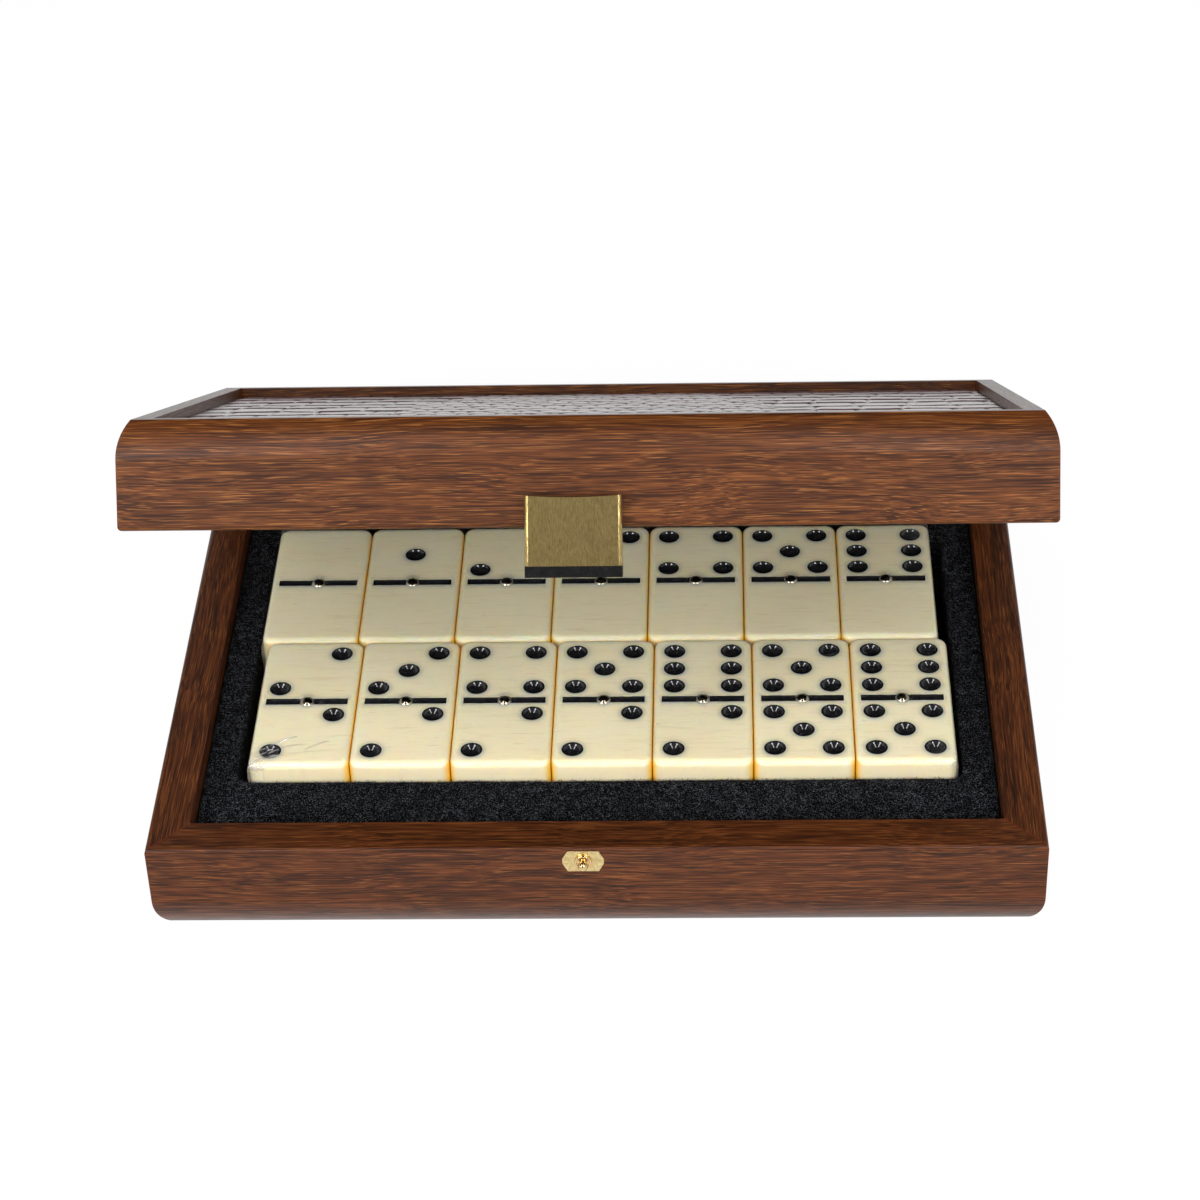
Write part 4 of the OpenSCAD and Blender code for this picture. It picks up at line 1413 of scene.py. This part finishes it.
@dataclass
class ShrinkWrap:
    """The clear film drawn tight round the dominoes."""

    folds: tuple[Fold, ...] = (
        Fold((-91.2, -41.4), (-83.6, -37.2), 0.26, 1.0),
        Fold((-81.6, -43.3), (-74.6, -39.2), 0.2, 0.7),
        Fold((-88.4, -42.2), (-80.2, -40.6), 0.3, 0.3),
        Fold((-86.0, -45.0), (-69.5, -42.6), 0.22, 0.16),
        Fold((-76.5, -37.9), (-68.4, -36.9), 0.22, 0.14),
        Fold((-96.9, -50.2), (-91.4, -49.4), 0.9, 0.45),
        Fold((-96.4, -48.6), (-90.4, -46.4), 0.3, 0.5),
        Fold((-95.8, -46.5), (-92.4, -42.6), 0.25, 0.35),
    )
    fine: tuple[float, float, float] = (-90.6, -44.3, 3.4)
    fine_count: int = 8
    fold_height: float = 0.36
    skin: float = 0.1
    step: float = 0.8
    fine_step: float = 0.16
    edge: float = 1.75
    clear: float = 0.06
    pin_height: float = 1.0
    ear: float = 2.3
    joint_shift: float = 0.03

    def build(self, dominoes: DominoSet) -> None:
        """Builds the film's top and its four sides.

        Args:
            dominoes: The dominoes under it.
        """
        low, high = shape_box("shrink_wrap")
        low[:2] += self.skin
        high[:2] -= self.skin
        top = dominoes.layer_z[1] + SIZES.thickness + self.clear
        gx, gy = np.meshgrid(self.lines(low[0], high[0]), self.lines(low[1], high[1]))
        rows, columns = gx.shape
        plan = np.stack([gx.ravel(), gy.ravel(), np.full(gx.size, top)], 1)
        inner = np.clip(border_distance(plan, low, high) / self.edge, 0, 1)
        plan[:, 0] = self.hugged(plan, low, high, dominoes)
        crease = self.creases(plan, low, high, dominoes.pitch)
        fold = self.wrinkles(plan)
        rise = 0.02 * smooth_noise(plan * (0.25, 1.0, 1.0), 3.0, 61)
        rise += 0.1 * crease * smooth_noise(plan, 1.6, 62)
        rise += self.fold_height * fold
        rounding = self.edge * (1 - np.sqrt(np.clip(1 - (1 - inner) ** 2, 0, 1)))
        plan[:, 2] += self.tents(plan, dominoes) + np.abs(rise) * inner - rounding
        piece = Piece()
        piece.add(plan, crease=crease, fold=fold)
        piece.grid(0, rows, columns)
        ring = grid_rim(rows, columns)
        self.walls(piece, ring, plan[ring], crease[ring], (low, high))
        film = piece.finish("clear_shrink_film", [FilmFinish().material()], Half.BASE, sharp=180)
        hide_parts("shrink_wrap")

    def walls(
        self,
        piece: Piece,
        ring: Sequence[int],
        rim: np.ndarray,
        crease: np.ndarray,
        box: tuple[np.ndarray, np.ndarray],
    ) -> None:
        """Adds the four sides, with the ear that the film is gathered into at its front left corner.

        Args:
            piece: The film.
            ring: The indices of the top's outermost points.
            rim: Those points.
            crease: How creased the film is at each.
            box: The film's lowest and highest corner.
        """
        low, high = box
        middle = (low + high)[:2] / 2
        lip = rim[:, 2].min()
        near = np.exp(-np.hypot(*(rim[:, :2] - low[:2]).T) / 0.8)
        upper, lower = np.arange(lip - 0.3, lip - 6.5, -0.3), np.linspace(lip - 7, low[2] + 0.3, 16)
        last: Sequence[int] = ring
        for z in np.concatenate([upper, lower]):
            wall = rim.copy()
            wall[:, 2] = z
            slack = 0.015 * np.abs(smooth_noise(wall * (1.0, 1.0, 0.15), 6.0, 51))
            wall[:, :2] -= np.sign(wall[:, :2] - middle) * slack[:, None]
            ear = self.ear * near * math.exp(-abs(z - lip + 2.6) / 0.8)
            wall[:, :2] -= ear[:, None] * (0.95, 0.3)
            start = piece.add(wall, crease=crease * 0.3, fold=np.clip(ear, 0, 1) * 0.9)
            piece.skirt(last, start)
            last = range(start, start + len(ring))

    def lines(self, low: float, high: float) -> np.ndarray:
        """Gives the grid lines between two sides, closer together near the wrinkled end and both edges."""
        ends = np.array([0, 0.04, 0.12, 0.26, 0.46, 0.74, 1.1, 1.5])
        wrinkled = low + (high - low) * 0.16
        close = np.arange(low + 1.7, wrinkled, self.fine_step)
        wide = np.arange(wrinkled, high - 2.0, self.step)
        return np.concatenate([low + ends, close, wide, (high - ends)[::-1]])

    def wrinkles(self, plan: np.ndarray) -> np.ndarray:
        """Gives how far the film stands in a sharp wrinkle at each point, from 0 to 1."""
        picks = np.random.default_rng(64)
        x, y, reach = self.fine
        total = np.zeros(len(plan))
        small = []
        for _ in range(self.fine_count):
            turn = math.radians(picks.uniform(20, 36))
            half = picks.uniform(1.0, 2.4) * np.array([math.cos(turn), math.sin(turn)])
            middle = np.array([x, y]) + picks.uniform(-0.5, 0.5, 2) * reach * (1.3, 1.1)
            small.append(Fold(tuple(middle - half), tuple(middle + half), 0.17, picks.uniform(0.5, 0.9)))
        for fold in (*self.folds, *small):
            total = np.maximum(total, fold.shape(plan))
        return total

    @staticmethod
    def hugged(plan: np.ndarray, low: np.ndarray, high: np.ndarray, dominoes: DominoSet) -> np.ndarray:
        """Gives each point's x once the film follows the ends of both rows of dominoes."""
        half = 3 * dominoes.pitch + SIZES.width / 2 + 0.08
        join = sum(dominoes.row_y) / 2
        share = np.clip((join - plan[:, 1]) / 14, 0, 1)
        share = share * share * (3 - 2 * share)
        shift = dominoes.row_shift[1] * (1 - share) + dominoes.row_shift[0] * share
        across = (plan[:, 0] - low[0]) / (high[0] - low[0]) * 2 - 1
        return across * half + shift

    def tents(self, plan: np.ndarray, dominoes: DominoSet) -> np.ndarray:
        """Gives how far the film is lifted by the pins' heads."""
        total = np.zeros(len(plan))
        for row in (0, 1):
            for column in range(7):
                x = (column - 3) * dominoes.pitch + dominoes.row_shift[row]
                away = np.hypot(plan[:, 0] - x, plan[:, 1] - dominoes.row_y[row])
                lift = self.pin_height * np.exp(-((np.clip(away - 1.1, 0, None) / 1.5) ** 1.3))
                total = np.maximum(total, lift)
        return total

    def creases(self, plan: np.ndarray, low: np.ndarray, high: np.ndarray, pitch: float) -> np.ndarray:
        """Gives how creased the film is at each point, from 0 to 1, which is most at its corners."""
        crease = np.zeros(len(plan))
        corners = ((low[0] + 1, low[1], 9.0, 0.9), (high[0], low[1], 9.0, 0.4))
        corners += ((low[0], high[1], 9.0, 0.35), (high[0] - 2, high[1], 12.0, 0.45))
        for x, y, reach, strength in corners:
            far = np.hypot(plan[:, 0] - x, plan[:, 1] - y)
            crease = np.maximum(crease, strength * np.clip(1 - far / reach, 0, 1) ** 1.4)
        joints = np.abs((plan[:, 0] / pitch + 0.5 - self.joint_shift) % 1.0 - 0.5) * pitch
        front = np.clip(1 - (plan[:, 1] - low[1]) / 3.5, 0, 1) * np.clip(1 - joints / 3.0, 0, 1)
        return np.maximum(crease, 0.2 * front * (0.5 + 0.5 * smooth_noise(plan, 14, 63)))


# ---- fittings ----


@dataclass
class Fittings:
    """The clasp, the stud and the hinges."""

    def build(self) -> None:
        """Dresses every metal and plastic fitting."""
        dress("clasp_plate", PLATE_BRASS.material(Half.LID), 0.34, 4)
        dress("clasp_block", BLACK_PLASTIC.material(Half.LID), 0.25, 3)
        steel = STEEL.material(Half.LID)
        dress("clasp_spring", steel)
        dress("clasp_screws", steel)
        dress("stud_plate", STAMPED_BRASS.material(Half.BASE), 0.16, 3)
        dress("ball_stud", STUD_BRASS.material(Half.BASE))
        for half in Half:
            brass = HINGE_BRASS.material(half)
            for side in ("left", "right"):
                dress(f"{side}_hinge_{half.value}_leaf", brass)
                if half is Half.BASE:
                    dress(f"{side}_hinge_pin", brass)
            dress(f"{half.value}_hinge_screws", brass)


# ---- studio ----


@dataclass(frozen=True)
class Softbox:
    """A soft lamp that faces the case: its angles to the right and up in degrees, metres and watts."""

    name: str
    turn: float
    height: float
    far: float
    size: tuple[float, float]
    power: float
    mirrored: bool = True

    def build(self) -> None:
        """Makes the lamp."""
        data = bpy.data.lights.new(self.name, "AREA")
        data.shape, data.energy = "RECTANGLE", self.power
        data.size, data.size_y = self.size
        lamp = bpy.data.objects.new(self.name, data)
        turn, height = math.radians(self.turn), math.radians(self.height)
        level = math.cos(height)
        away = Vector((math.sin(turn) * level, -math.cos(turn) * level, math.sin(height)))
        lamp.location = Vector((0, 0, 0.05)) + away * self.far
        lamp.rotation_euler = (-away).to_track_quat("-Z", "Y").to_euler()
        lamp.visible_glossy = self.mirrored
        bpy.context.scene.collection.objects.link(lamp)


@dataclass
class Studio:
    """The floor, the soft lamps, the surround and the camera."""

    fill: float = 0.28
    room: float = 0.12
    lamps: tuple[Softbox, ...] = (
        Softbox("left_softbox", -32, 41, 1.05, (0.16, 1.0), 5.4),
        Softbox("right_softbox", 29, 41, 1.05, (0.13, 1.0), 4.4),
        Softbox("left_spot", -39, 24, 1.05, (0.16, 0.18), 1.6),
        Softbox("right_spot", 36, 24, 1.05, (0.14, 0.18), 1.4),
        Softbox("front_reflector", 0, 31, 1.2, (1.1, 0.3), 7.0, mirrored=False),
    )
    floor_half: float = 4.0
    floor_drop: float = 0.0002
    eye: tuple[float, float, float] = (0.03482, -0.72722, 0.59657)
    pitch: float = 37.07
    yaw: float = -2.75
    roll: float = 2.13
    lens: float = 96.96

    def build(self) -> None:
        """Builds everything that isn't part of the case."""
        self.floor()
        self.surround()
        for lamp in self.lamps:
            lamp.build()
        self.camera()
        bpy.context.scene.view_settings.view_transform = "Standard"

    def floor(self) -> None:
        """Makes the pale floor, which looks white and keeps a light shadow."""
        g = Graph("pale_floor")
        paths = g.node("LightPath", {})
        kinds = ("Camera", "Glossy", "Transmission")
        seen = g.highest(*(paths.outputs[f"Is {kind} Ray"] for kind in kinds))
        speck = g.mix(g.noise(g.place(), 0.05, 3), (0.82, 0.82, 0.82), (0.8, 0.8, 0.8))
        paint = g.node("BsdfDiffuse", {"Color": speck}).outputs[0]
        glow = g.node("Emission", {"Color": (1, 1, 1), "Strength": 1.07}).outputs[0]
        material = g.end(g.node("MixShader", {0: g.times(seen, 0.86), 1: paint, 2: glow}).outputs[0])
        mesh = bpy.data.meshes.new("studio_floor")
        signs = ((-1, -1), (1, -1), (1, 1), (-1, 1))
        places = [(x * self.floor_half, y * self.floor_half, -self.floor_drop) for x, y in signs]
        mesh.from_pydata(places, [], [(0, 1, 2, 3)])
        mesh.materials.append(material)
        floor = bpy.data.objects.new("studio_floor", mesh)
        bpy.context.scene.collection.objects.link(floor)

    def surround(self) -> None:
        """Makes the surround: white to the eye, and to reflections white behind and dimmer in front."""
        world = bpy.data.worlds.new("studio_surround")
        bpy.context.scene.world = world
        world.use_nodes = True
        world.node_tree.nodes.clear()
        g = Graph.over(world.node_tree)
        paths = g.node("LightPath", {})
        x, y, z = g.parts(g.node("TexCoord", {}).outputs["Generated"])
        white = g.times(g.fit(z, 0.6, 0.1), g.highest(g.fit(y, -0.3, 0.3), g.fit(z, 0.02, 0.0)))
        card = g.times(g.fit(y, -0.72, -0.86), 0.24)
        sides = g.times(g.fit(g.math("ABSOLUTE", x), 0.6, 0.8), g.fit(z, 0.62, 0.4, 0.0, 0.85))
        mirrored = g.highest(white, self.room, card, sides)
        bounced = g.highest(paths.outputs["Is Glossy Ray"], paths.outputs["Is Transmission Ray"])
        level = g.blend(bounced, self.fill, mirrored)
        level = g.blend(paths.outputs["Is Camera Ray"], level, 1.0)
        back = g.node("Background", {"Color": (1, 1, 1), "Strength": level}).outputs[0]
        g.node("OutputWorld", {"Surface": back})

    def camera(self) -> None:
        """Makes the camera."""
        pitch, yaw, roll = (math.radians(angle) for angle in (self.pitch, self.yaw, self.roll))
        ahead = Vector((math.sin(yaw) * math.cos(pitch), math.cos(yaw) * math.cos(pitch), -math.sin(pitch)))
        right = Vector((math.cos(yaw), -math.sin(yaw), 0))
        down = ahead.cross(right)
        right, down = (
            math.cos(roll) * right + math.sin(roll) * down,
            -math.sin(roll) * right + math.cos(roll) * down,
        )
        data = bpy.data.cameras.new("camera")
        data.lens, data.sensor_width = self.lens, 36.0
        data.clip_start, data.clip_end = 0.01, 50.0
        camera = bpy.data.objects.new("camera", data)
        turn = Matrix((right, -down, -ahead)).transposed().to_4x4()
        camera.matrix_world = Matrix.Translation(self.eye) @ turn
        bpy.context.scene.collection.objects.link(camera)
        bpy.context.scene.camera = camera


def corners(box: tuple[Vector, Vector]) -> list[list[float]]:
    """Gives a box as plain lists."""
    return [list(corner) for corner in box]


def main() -> None:
    """Builds the case, its linings, its dominoes and its fittings, and lights them."""
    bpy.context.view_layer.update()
    Rails(Half.BASE, BASE_WOOD).build()
    Rails(Half.LID, LIGHTER_LIT_LID_WOOD).build()
    ScaleLeather().build()
    FoamTray().build()
    LidPad().build()
    WellFelt().build()
    dominoes = DominoSet()
    dominoes.build()
    ShrinkWrap().build(dominoes)
    Fittings().build()
    Studio().build()


if __name__ == "__main__":
    main()
